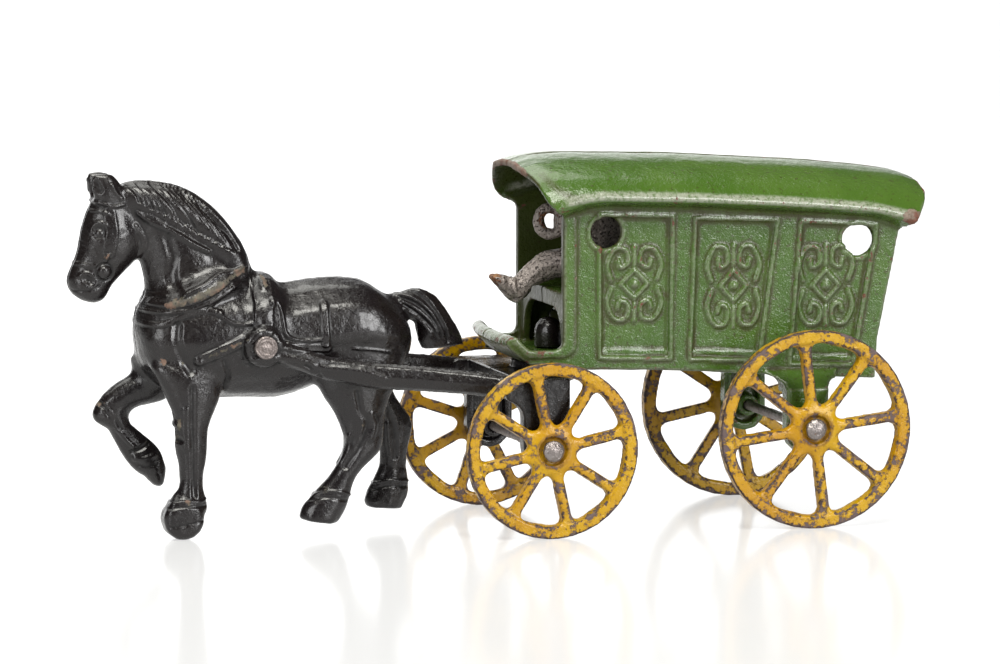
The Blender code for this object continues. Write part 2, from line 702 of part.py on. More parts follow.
def make_body_half(name, side, material):
    body = body_shell(side)
    combine(body, [body_floor(side), *seat_parts(side), rear_bracket(side), wall_border(side)], "UNION")
    combine(body, [panel_recess(corners, side) for corners in PANELS], "DIFFERENCE")
    cuts = [wall_bore(ROUND_HOLE_RADIUS, x, z, side, 24) for x, z in ROUND_HOLES]
    floor_hole = (CAB_FLOOR_BOTTOM - OVERLAP, CAB_FLOOR_TOP + OVERLAP)
    cuts.append(cylinder(KING_RADIUS + CLEARANCE, *floor_hole, (KING_X, 0, 0), "Z", 20))
    seat_hole = (SEAT_TOP - SEAT_THICKNESS - OVERLAP, SEAT_TOP + OVERLAP)
    cuts.append(cylinder(DRIVER_PEG_RADIUS + CLEARANCE, *seat_hole, (DRIVER_PEG_X, 0, 0), "Z", 16))
    axle_hole = (side * (BRACKET_INNER_Y - OVERLAP), side * (REAR_BRACKET_OUTER_Y + OVERLAP))
    axle = (REAR_AXLE_X, 0, REAR_WHEEL_RADIUS)
    cuts.append(cylinder(AXLE_RADIUS + AXLE_SLACK, *axle_hole, axle, "Y", 16))
    cuts.append(beyond_seam(side))
    if side > 0:
        cuts += [wall_bore(TIE_POST_RADIUS + CLEARANCE, x, z, side, 12) for x, z in TIE_POSTS]
    combine(body, cuts, "DIFFERENCE")
    if side < 0:
        head_seat = WALL_HALF_WIDTH + CLEARANCE
        profile = [(TIE_POST_RADIUS, -WALL_INNER_Y - WALL_THICKNESS / 2), (TIE_POST_RADIUS, head_seat)]
        profile += dome_profile(TIE_HEAD_RADIUS, head_seat, TIE_HEAD_HEIGHT, 2)
        posts = [lathe(profile, (x, 0, z), "Y", 12) for x, z in TIE_POSTS]
        combine(body, posts, "UNION")
    return finish(body, name, material)


# Horse: stations are two outline points of the side view, half width and centre y

TORSO = (
    (-80.0, 46.5, -79.4, 39.0, 3.5, 0), (-79.1, 49.0, -78.0, 36.4, 6.8, 0),
    (-76.0, 52.0, -75.0, 33.0, 9.0, 0), (-70.0, 54.5, -69.5, 30.3, 10.6, 0),
    (-63.0, 55.8, -62.5, 29.6, 11.2, 0), (-55.0, 55.6, -55.0, 29.4, 11.4, 0),
    (-48.0, 54.4, -48.5, 29.3, 11.6, 0), (-42.0, 55.0, -42.5, 30.9, 11.6, 0),
    (-36.0, 55.3, -37.0, 32.8, 11.8, 0), (-30.0, 54.6, -30.0, 33.6, 11.8, 0),
    (-25.4, 51.8, -24.5, 34.0, 10.8, 0), (-21.9, 48.8, -21.0, 35.5, 8.4, 0),
    (-19.4, 45.0, -19.2, 38.5, 4.6, 0),
)
NECK = (
    (-80.7, 44.0, -50.5, 50.5, 9.2, 0), (-79.7, 48.5, -53.5, 56.0, 8.6, 0),
    (-77.9, 53.0, -55.7, 60.2, 7.0, 0), (-78.2, 56.5, -58.3, 65.1, 5.9, 0),
    (-79.1, 60.5, -62.2, 69.7, 5.1, 0), (-79.8, 64.5, -67.5, 72.9, 4.6, 0),
    (-81.4, 68.0, -73.0, 75.2, 4.1, 0), (-84.0, 71.0, -78.5, 76.2, 3.7, 0),
    (-87.2, 73.4, -82.5, 76.2, 2.8, 0),
)
MANE = (
    (-83.0, 71.0, -82.3, 77.0, 3.3, 0), (-78.3, 68.6, -76.3, 77.1, 4.7, 0),
    (-73.6, 67.1, -69.2, 75.5, 5.4, 0), (-69.3, 64.7, -63.1, 71.5, 6.0, 0),
    (-65.6, 61.7, -58.8, 66.7, 6.6, 0), (-62.5, 57.5, -55.7, 61.6, 7.2, 0),
    (-60.5, 54.5, -54.6, 57.8, 6.6, 0),
)
HEAD = (
    (-88.8, 74.4, -80.5, 70.6, 3.4, 0), (-90.2, 71.4, -78.4, 67.0, 4.2, 0),
    (-91.3, 68.8, -78.0, 63.4, 4.7, 0), (-92.1, 65.2, -79.6, 60.2, 4.7, 0),
    (-92.8, 61.5, -82.9, 56.7, 3.9, 0), (-93.9, 59.0, -85.2, 54.4, 3.5, 0),
    (-94.8, 56.9, -86.3, 52.0, 3.6, 0), (-94.8, 54.7, -88.0, 50.9, 3.2, 0),
    (-93.4, 52.7, -90.3, 51.1, 2.0, 0),
)
EAR = (
    (-89.2, 73.0, -83.4, 72.0, 1.8, 2.4), (-89.6, 75.4, -82.8, 74.4, 1.7, 2.5),
    (-90.0, 77.7, -83.4, 76.9, 1.4, 2.5), (-89.8, 78.9, -85.2, 78.9, 0.8, 2.4),
)
COLLAR = (
    (-77.9, 51.8, -58.6, 60.0, 7.8, 0), (-79.2, 50.4, -56.8, 59.3, 9.4, 0),
    (-80.3, 48.2, -54.9, 57.7, 10.5, 0), (-80.0, 46.2, -54.2, 55.8, 10.6, 0),
)
SADDLE_PAD = (
    (-55.0, 55.6, -55.0, 36.0, 10.4, 0), (-54.2, 56.7, -54.2, 34.0, 11.3, 0),
    (-50.4, 56.6, -50.4, 34.0, 11.3, 0), (-49.6, 55.5, -49.6, 36.0, 10.4, 0),
)
GIRTH_STRAP = (
    (-55.2, 55.0, -55.2, 35.0, 11.2, 0), (-54.6, 55.9, -54.6, 33.0, 12.1, 0),
    (-52.2, 55.9, -52.2, 33.0, 12.1, 0), (-51.6, 55.0, -51.6, 35.0, 11.2, 0),
)
TAIL = (
    (-25.0, 51.0, -23.5, 45.5, 2.4, 0), (-21.5, 51.4, -20.7, 45.8, 2.3, 0),
    (-17.4, 52.4, -18.6, 45.3, 2.6, 0), (-13.2, 50.9, -17.6, 44.6, 3.0, 0),
    (-10.0, 47.0, -17.2, 42.4, 3.2, 0), (-7.5, 42.9, -16.9, 40.6, 3.0, 0),
    (-6.1, 39.6, -16.0, 38.6, 2.4, 0),
)
LEFT_FORELEG = (
    (-78.6, 38.0, -61.5, 35.0, 3.8, -6.4), (-75.6, 32.0, -62.4, 31.0, 3.6, -6.8),
    (-73.6, 27.8, -64.2, 27.3, 3.1, -7.0), (-72.9, 24.5, -65.5, 24.0, 2.8, -7.0),
    (-72.9, 20.5, -65.7, 20.5, 2.7, -7.0), (-72.2, 17.0, -66.0, 17.0, 2.4, -7.0),
    (-71.8, 13.3, -66.7, 13.3, 2.2, -7.0), (-72.3, 10.5, -66.6, 10.5, 2.3, -7.0),
    (-74.0, 8.7, -65.8, 7.6, 2.8, -7.0), (-75.1, 6.6, -65.8, 6.0, 3.0, -7.0),
    (-75.6, 4.6, -67.2, 4.4, 3.1, -7.0),
)
RIGHT_FORELEG = (
    (-80.4, 39.0, -66.0, 33.5, 4.0, 5.8), (-79.2, 35.0, -71.8, 28.8, 3.6, 6.4),
    (-83.2, 32.4, -76.6, 27.7, 3.2, 6.8), (-86.8, 28.8, -79.2, 26.7, 2.9, 7.0),
    (-88.1, 25.1, -79.9, 25.0, 2.7, 7.0), (-85.0, 23.0, -79.3, 23.3, 2.5, 7.0),
    (-83.7, 21.2, -77.8, 22.1, 2.3, 7.0), (-82.3, 18.4, -75.9, 20.6, 2.3, 7.0),
    (-80.3, 15.2, -74.3, 19.2, 2.5, 7.0), (-78.4, 13.1, -72.8, 17.2, 2.7, 7.0),
    (-76.5, 12.0, -71.8, 14.2, 2.8, 7.0), (-74.9, 10.3, -71.9, 11.8, 2.5, 7.0),
    (-73.4, 9.5, -72.3, 10.2, 1.5, 7.0),
)
LEFT_HIND_LEG = (
    (-44.5, 43.0, -19.8, 43.0, 4.2, -6.4), (-42.6, 35.0, -22.5, 33.5, 4.6, -6.8),
    (-40.2, 30.2, -25.0, 29.5, 4.1, -7.0), (-37.8, 26.8, -26.0, 26.0, 3.6, -7.0),
    (-36.2, 23.4, -26.4, 22.5, 3.1, -7.0), (-35.3, 20.0, -26.9, 18.2, 2.8, -7.0),
    (-36.2, 16.3, -29.2, 15.8, 2.5, -7.0), (-38.2, 13.0, -32.0, 13.2, 2.3, -7.0),
    (-40.6, 10.4, -33.5, 10.2, 2.5, -7.0), (-42.9, 8.2, -34.2, 7.2, 2.8, -7.0),
    (-44.8, 5.8, -35.1, 5.0, 3.0, -7.0), (-45.6, 3.3, -37.0, 2.0, 3.1, -7.0),
)
RIGHT_HIND_LEG = (
    (-40.0, 42.0, -19.4, 42.0, 4.2, 6.4), (-37.0, 34.0, -20.5, 33.0, 4.6, 6.8),
    (-33.0, 29.5, -20.6, 29.0, 4.0, 7.0), (-29.0, 26.0, -18.4, 25.5, 3.4, 7.0),
    (-26.5, 22.6, -16.1, 22.0, 2.9, 7.0), (-24.6, 18.6, -16.5, 18.2, 2.5, 7.0),
    (-23.5, 15.2, -17.4, 15.2, 2.3, 7.0), (-23.9, 11.8, -17.5, 12.2, 2.3, 7.0),
    (-25.4, 9.0, -17.0, 9.2, 2.7, 7.0), (-27.0, 5.9, -17.0, 6.2, 3.0, 7.0),
    (-27.0, 3.6, -18.6, 2.8, 3.1, 7.0),
)
# Shaft on one side: top x and z, bottom x and z, and its share of the way out to the bracket
SHAFT = (
    (-54.0, 43.8, -54.0, 39.2, 0.0), (-47.0, 41.3, -47.5, 36.6, 0.08), (-40.0, 39.2, -40.5, 33.9, 0.16),
    (-30.0, 37.7, -30.5, 31.9, 0.29), (-20.0, 36.8, -20.3, 31.2, 0.43), (-10.0, 35.6, -10.3, 30.4, 0.63),
    (-3.0, 34.6, -3.2, 29.6, 0.83), (2.5, 34.0, 2.0, 28.6, 1.0),
)


def mirrored(stations, side):
    return [(*station[:5], side * station[5]) for station in stations]


def horse_body():
    """Horse without its shafts, as one smooth casting."""
    pieces = [limb(stations) for stations in (TORSO, NECK, MANE, HEAD, COLLAR, TAIL)]
    pieces += [limb(stations) for stations in (SADDLE_PAD, GIRTH_STRAP)]
    pieces += [limb(stations) for stations in (LEFT_FORELEG, RIGHT_FORELEG, LEFT_HIND_LEG, RIGHT_HIND_LEG)]
    pieces += [limb(mirrored(EAR, side)) for side in (-1, 1)]
    skid = (SKID_X, -SKID_Y, SKID_RADIUS)
    width = SKID_HALF_WIDTH
    edge = SKID_RADIUS - SKID_ROUNDING
    profile = [
        (edge, -width), (SKID_RADIUS, 0.7 * SKID_ROUNDING - width),
        (SKID_RADIUS, width - 0.7 * SKID_ROUNDING), (edge, width),
    ]
    pieces.append(lathe(profile, skid, "Y", 24))
    horse = cast_shape(pieces, HORSE_VOXEL, 3, HORSE_FACES)
    nose = min(vertex.co.x for vertex in horse.data.vertices)
    for vertex in horse.data.vertices:
        vertex.co.x += NOSE_X * MM - nose
    return horse


def shaft(side):
    stations = []
    for x1, z1, x2, z2, share in SHAFT:
        y = SHAFT_FRONT_Y + (SHAFT_REAR_Y - SHAFT_FRONT_Y) * share
        stations.append((x1, z1, x2, z2, SHAFT_HALF_THICKNESS, side * y))
    return limb(stations, 8, 1)


def front_bracket(side):
    """Bracket that carries the front axle at the rear end of a shaft, hollow on its inner side."""
    x = FRONT_AXLE_X
    z = FRONT_WHEEL_RADIUS
    r = FRONT_BRACKET_RADIUS
    corners = [
        (x - r, z - r, r), (x + r, z - r, r), (x + r, BOLSTER_TOP, 0.8), (x - r - 4.0, BOLSTER_TOP, 0.8),
        (x - r - 4.0, BOLSTER_TOP - 4.2, 1.0), (x - r, BOLSTER_TOP - 6.2, 4.0),
    ]
    plate = prism(rounded_outline(corners), side * BRACKET_INNER_Y, side * FRONT_BRACKET_OUTER_Y)
    inner = r - BRACKET_WALL
    top = BOLSTER_TOP - BOLSTER_THICKNESS
    pocket_corners = [
        (x - inner, z - inner, inner), (x + inner, z - inner, inner),
        (x + inner, top, 1.0), (x - inner, top, 1.0),
    ]
    pocket_end = FRONT_BRACKET_OUTER_Y - BRACKET_WALL
    pocket = prism(rounded_outline(pocket_corners), side * (BRACKET_INNER_Y - OVERLAP), side * pocket_end)
    combine(plate, [pocket], "DIFFERENCE")
    return thin_bracket(plate, side, FRONT_BRACKET_OUTER_Y, (x, z), top - FRONT_BRACKET_NECK)


def bolster():
    """Cross bar between the brackets with the turning plate and the headed king post."""
    half = BRACKET_INNER_Y + 1.2
    front = FRONT_AXLE_X - FRONT_BRACKET_RADIUS - 0.6
    rear = FRONT_AXLE_X + FRONT_BRACKET_RADIUS - 0.5
    outline = rounded_outline([
        (front, half, 1.0), (front, -half, 1.0), (rear, -half, 1.0),
        (KING_X + 5.0, -6.5, 4.0), (KING_X + 5.0, 6.5, 4.0), (rear, half, 1.0),
    ])
    low = BOLSTER_TOP - BOLSTER_THICKNESS
    bar = loft([[(x, y, z) for x, y in outline] for z in (low, BOLSTER_TOP - 0.05)], "bolster")
    plate_top = CAB_FLOOR_BOTTOM - CLEARANCE
    turntable = [
        (FIFTH_WHEEL_RADIUS, low + 0.4), (FIFTH_WHEEL_RADIUS, plate_top - 0.4),
        (FIFTH_WHEEL_RADIUS - 0.4, plate_top),
    ]
    plate = lathe(turntable, (KING_X, 0, 0), "Z", 24)
    head_seat = CAB_FLOOR_TOP + CLEARANCE
    waist = head_seat + KING_HEAD_HEIGHT - KING_HEAD_RADIUS
    profile = [(KING_RADIUS, low + 1.0), (KING_RADIUS, head_seat), (KING_HEAD_RADIUS, head_seat)]
    profile += dome_profile(KING_HEAD_RADIUS, waist, KING_HEAD_RADIUS)
    post = lathe(profile, (KING_X, 0, 0), "Z", 16)
    return combine(bar, [plate, post], "UNION")


def rivet_boss(side):
    centre = (HORSE_RIVET_X, 0, HORSE_RIVET_Z)
    profile = [
        (HORSE_BOSS_RADIUS + 0.4, side * 8.0), (HORSE_BOSS_RADIUS, side * (HORSE_BOSS_Y - 0.7)),
        (HORSE_BOSS_RADIUS - 0.7, side * HORSE_BOSS_Y),
    ]
    return lathe(profile, centre, "Y", 20)


def make_horse_halves(names, material):
    """Horse, shafts and front gear, parted along the middle into two castings."""
    casting = horse_body()
    parts = [bolster()]
    for side in (-1, 1):
        parts += [rivet_boss(side), shaft(side), front_bracket(side)]
    combine(casting, parts, "UNION")
    rivet = (HORSE_RIVET_X, 0, HORSE_RIVET_Z)
    axle = (FRONT_AXLE_X, 0, FRONT_WHEEL_RADIUS)
    rivet_reach = HORSE_BOSS_Y + OVERLAP
    bores = [
        cylinder(HORSE_RIVET_RADIUS + AXLE_SLACK, -rivet_reach, rivet_reach, rivet, "Y", 16),
        cylinder(AXLE_RADIUS + AXLE_SLACK, -WHEEL_OUTER_Y, WHEEL_OUTER_Y, axle, "Y", 16),
    ]
    combine(casting, bores, "DIFFERENCE")
    halves = []
    for name, side in zip(names, (-1, 1)):
        half = casting.copy()
        half.data = casting.data.copy()
        bpy.context.collection.objects.link(half)
        combine(half, [beyond_seam(side)], "DIFFERENCE")
        halves.append(finish(half, name, material))
    bpy.data.objects.remove(casting)
    return halves


def make_horse_rivet(name, material):
    seat = HORSE_BOSS_Y + CLEARANCE
    head = dome_profile(HORSE_RIVET_HEAD_RADIUS, seat, HORSE_RIVET_HEAD_HEIGHT)
    right = [(HORSE_RIVET_RADIUS, seat)] + head
    left = [(radius, -distance) for radius, distance in reversed(right)]
    rivet = lathe(left + right, (HORSE_RIVET_X, 0, HORSE_RIVET_Z), "Y", 12)
    return finish(rivet, name, material, (HORSE_RIVET_X, 0.0, HORSE_RIVET_Z))


# Driver

DRIVER_LEG = (
    (24.0, 60.5, 25.0, 52.6, 4.2, 0), (15.6, 60.0, 16.6, 53.6, 3.8, 0), (11.8, 59.6, 13.0, 53.0, 3.5, 0),
    (8.3, 57.4, 10.4, 51.9, 3.1, 0), (6.0, 54.8, 8.4, 50.2, 2.7, 0), (4.6, 53.4, 7.2, 48.9, 2.6, 0),
)
DRIVER_FOOT = (
    (7.6, 51.0, 5.4, 47.9, 2.3, 0), (4.9, 53.8, 3.2, 49.4, 2.6, 0), (2.3, 54.8, 1.2, 51.8, 2.5, 0),
    (-0.3, 55.0, -0.6, 53.6, 1.7, 0),
)
DRIVER_TORSO = (
    (16.5, 57.0, 31.0, 52.4, 4.6, 0), (16.2, 60.5, 31.6, 58.0, 5.2, 0), (17.2, 64.5, 31.4, 64.0, 5.8, 0),
    (19.8, 68.0, 30.0, 67.6, 5.4, 0), (23.0, 69.4, 27.8, 69.4, 3.2, 0),
)
DRIVER_HEAD = (
    (23.8, 68.6, 27.6, 68.6, 2.0, 0), (22.2, 70.2, 28.6, 70.0, 2.6, 0), (21.6, 72.6, 29.2, 72.6, 3.0, 0),
    (21.9, 74.6, 29.2, 74.8, 3.1, 0), (22.6, 76.4, 28.6, 77.0, 2.6, 0), (24.0, 77.6, 27.2, 77.9, 1.4, 0),
)
DRIVER_HAT_BRIM = (
    (19.8, 74.3, 31.0, 75.2, 4.6, 0), (19.9, 75.1, 30.9, 76.0, 4.5, 0),
)
DRIVER_ARM = (
    (24.5, 69.0, 25.5, 63.0, 6.0, 0), (20.5, 68.4, 20.8, 62.2, 5.6, 0), (16.8, 68.8, 16.4, 62.6, 3.6, 0),
    (14.6, 69.0, 14.4, 63.0, 2.0, 0),
)
DRIVER_RING = (13.2, 66.1)   # centre of the hand ring in x and z
DRIVER_RING_RADIUS = 2.75
DRIVER_RING_BAR = 1.25
DRIVER_NOSE = (
    (21.9, 73.4, 23.5, 73.4, 0.9, 0), (21.0, 72.0, 23.5, 71.6, 0.9, 0), (21.6, 71.4, 23.5, 71.2, 0.7, 0),
)


def rein_ring():
    """Ring in the driver's hands, a little taller than wide."""
    turns = 20
    sides = 8
    bar = DRIVER_RING_BAR
    vertices = []
    for k in range(turns):
        angle = 2 * math.pi * k / turns
        for i in range(sides):
            turn = 2 * math.pi * i / sides
            reach = DRIVER_RING_RADIUS + bar * math.cos(turn)
            x = DRIVER_RING[0] + reach * math.cos(angle)
            z = DRIVER_RING[1] + 1.08 * reach * math.sin(angle)
            vertices.append((x, 0.9 * bar * math.sin(turn), z))
    faces = []
    for k in range(turns):
        a = k * sides
        b = (k + 1) % turns * sides
        for i in range(sides):
            j = (i + 1) % sides
            faces.append((a + i, a + j, b + j, b + i))
    return new_object("ring", vertices, faces)


def make_driver(name, material):
    """Seated driver, cast flat in one piece, with a ring for the reins."""
    pieces = [limb(s, 12, 2) for s in (DRIVER_LEG, DRIVER_FOOT, DRIVER_TORSO, DRIVER_HEAD, DRIVER_ARM)]
    pieces.append(limb(DRIVER_HAT_BRIM, 16, 1))
    pieces.append(limb(DRIVER_NOSE, 8, 1))
    pieces.append(rein_ring())
    driver = cast_shape(pieces, DRIVER_VOXEL, 2, DRIVER_FACES)
    legs_x = CAB_WALL_FRONT_X - 2.2
    seat = SEAT_TOP + CLEARANCE
    seat_cut = box(legs_x, CUT_REACH, -CUT_REACH, CUT_REACH, 0.0, seat)
    peg_low = SEAT_TOP - SEAT_THICKNESS - 1.2
    peg = cylinder(DRIVER_PEG_RADIUS, peg_low, SEAT_TOP + 3.0, (DRIVER_PEG_X, 0, 0), "Z", 16)
    combine(driver, [seat_cut], "DIFFERENCE")
    combine(driver, [peg], "UNION")
    return finish(driver, name, material)


def build():
    for obj in list(bpy.data.objects):
        bpy.data.objects.remove(obj)
    green = principled("green_enamel", (0.075, 0.19, 0.045), 0.35, 0.0, 0.3)
    yellow = principled("yellow_enamel", (0.75, 0.38, 0.02), 0.42, 0.0, 0.2)
    black = principled("black_enamel", (0.012, 0.012, 0.013), 0.28, 0.0, 0.4)
    iron = principled("bare_iron", (0.16, 0.14, 0.13), 0.55, 0.8)
    steel = principled("steel", (0.42, 0.40, 0.38), 0.38, 1.0)
    make_body_half("body_half_left", -1, green)
    make_body_half("body_half_right", 1, green)
    make_driver("driver", iron)
    make_horse_halves(("horse_half_left", "horse_half_right"), black)
    make_horse_rivet("horse_rivet", steel)
    make_axle("front_axle", FRONT_AXLE_X, FRONT_WHEEL_RADIUS, steel)
    make_axle("rear_axle", REAR_AXLE_X, REAR_WHEEL_RADIUS, steel)
    front = (FRONT_AXLE_X, FRONT_WHEEL_RADIUS)
    rear = (REAR_AXLE_X, REAR_WHEEL_RADIUS)
    make_wheel("wheel_front_left", *front, -1, FRONT_BRACKET_OUTER_Y, 12.3, yellow)
    make_wheel("wheel_front_right", *front, 1, FRONT_BRACKET_OUTER_Y, 26.4, yellow)
    make_wheel("wheel_rear_left", *rear, -1, REAR_BRACKET_OUTER_Y, 7.2, yellow)
    make_wheel("wheel_rear_right", *rear, 1, REAR_BRACKET_OUTER_Y, 11.5, yellow)


build()
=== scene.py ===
"""Looks of a painted cast iron toy carriage with one horse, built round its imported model."""

import json
import math

import bmesh
import bpy
import numpy as np
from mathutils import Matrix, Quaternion, Vector, noise

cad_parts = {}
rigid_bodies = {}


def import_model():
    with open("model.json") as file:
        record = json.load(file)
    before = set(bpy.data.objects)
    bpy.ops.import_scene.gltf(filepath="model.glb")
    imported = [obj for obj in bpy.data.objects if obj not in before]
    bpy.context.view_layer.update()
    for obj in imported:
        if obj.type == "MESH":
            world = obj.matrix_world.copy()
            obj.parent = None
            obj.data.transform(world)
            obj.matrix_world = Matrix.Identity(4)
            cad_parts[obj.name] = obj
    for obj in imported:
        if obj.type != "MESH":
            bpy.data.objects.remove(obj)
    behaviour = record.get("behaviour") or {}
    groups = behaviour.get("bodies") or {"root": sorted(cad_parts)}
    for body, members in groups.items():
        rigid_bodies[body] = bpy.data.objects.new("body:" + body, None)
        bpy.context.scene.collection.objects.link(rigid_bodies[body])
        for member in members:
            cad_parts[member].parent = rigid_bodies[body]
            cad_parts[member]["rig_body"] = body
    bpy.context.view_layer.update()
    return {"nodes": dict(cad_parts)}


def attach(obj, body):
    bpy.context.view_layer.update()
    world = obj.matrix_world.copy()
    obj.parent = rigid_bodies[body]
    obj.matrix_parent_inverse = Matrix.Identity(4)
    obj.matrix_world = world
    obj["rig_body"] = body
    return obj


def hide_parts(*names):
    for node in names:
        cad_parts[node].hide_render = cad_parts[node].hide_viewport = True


PER_METRE = 1000.0   # shapes are worked on in millimetres

# Grain of the fine meshes, in millimetres
BODY_VOXEL = 0.36
HORSE_VOXEL = 0.27
WHEEL_VOXEL = 0.26
SMALL_VOXEL = 0.2
DRIVER_VOXEL = 0.2

SEAM_GAP = 0.006   # left on either side of the plane where two castings meet, in millimetres
SEAM_REACH = 1.0   # a seam is sought where the innermost point is so near that plane, in millimetres
PATH_STEPS = 5   # points of a smooth path for each one given
BAND_EDGE = 0.35   # width of a flat stroke's soft edge, in millimetres
SMOOTH_IN = 0.6   # one round of smoothing draws in by this share, and then out by the next
SMOOTH_OUT = 0.62
FULL_RELIEF = 0.4   # part of the normal along the view from which relief has its full height
WEAR_ROUNDS = 4   # rounds of averaging that edges and hollows are told from

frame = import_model()


# Paths and relief

def smooth_step(value, low, high):
    """Share that rises smoothly from 0 at low to 1 at high."""
    t = np.clip((value - low) / (high - low), 0.0, 1.0)
    return t * t * (3.0 - 2.0 * t)


def curve(points):
    """Smooth path through points of the side view."""
    points = np.array(points, float)
    if len(points) < 3:
        return points
    padded = np.vstack([2 * points[0] - points[1], points, 2 * points[-1] - points[-2]])
    path = []
    for p0, p1, p2, p3 in zip(padded, padded[1:], padded[2:], padded[3:]):
        for k in range(PATH_STEPS):
            t = k / PATH_STEPS
            bend = (2 * p0 - 5 * p1 + 4 * p2 - p3) * t * t + (3 * p1 - p0 - 3 * p2 + p3) * t ** 3
            path.append(0.5 * (2 * p1 + (p2 - p0) * t + bend))
    path.append(points[-1])
    return np.array(path)


def gap_to(path, flat):
    """Distance of each point to a path, both in the plane of one view."""
    if len(path) == 1:
        return np.linalg.norm(flat - path[0], axis=1)
    best = np.full(len(flat), np.inf)
    for a, b in zip(path, path[1:]):
        along = b - a
        share = np.clip((flat - a) @ along / max(along @ along, 1e-9), 0.0, 1.0)
        best = np.minimum(best, np.linalg.norm(flat - a - share[:, None] * along, axis=1))
    return best


def relief(flat, kind, points, width, height):
    """Height that one raised or sunk stroke adds at each point.

    A ridge is rounded and a ball domed. A band and a line are flat with soft edges.
    A line keeps its corners, and the others follow a smooth path.
    """
    path = curve(points) if kind != "line" else np.array(points, float)
    low = path.min(0) - width
    high = path.max(0) + width
    near = ((flat > low) & (flat < high)).all(1)
    added = np.zeros(len(flat))
    gap = gap_to(path, flat[near])
    if kind == "ridge":
        added[near] = height * np.clip(1.0 - (gap / width) ** 2, 0.0, 1.0) ** 1.5
    elif kind == "ball":
        added[near] = height * np.clip(1.0 - (gap / width) ** 2, 0.0, 1.0) ** 0.5
    else:
        added[near] = height * smooth_step(width - gap, 0.0, BAND_EDGE)
    return added


# Fine meshes

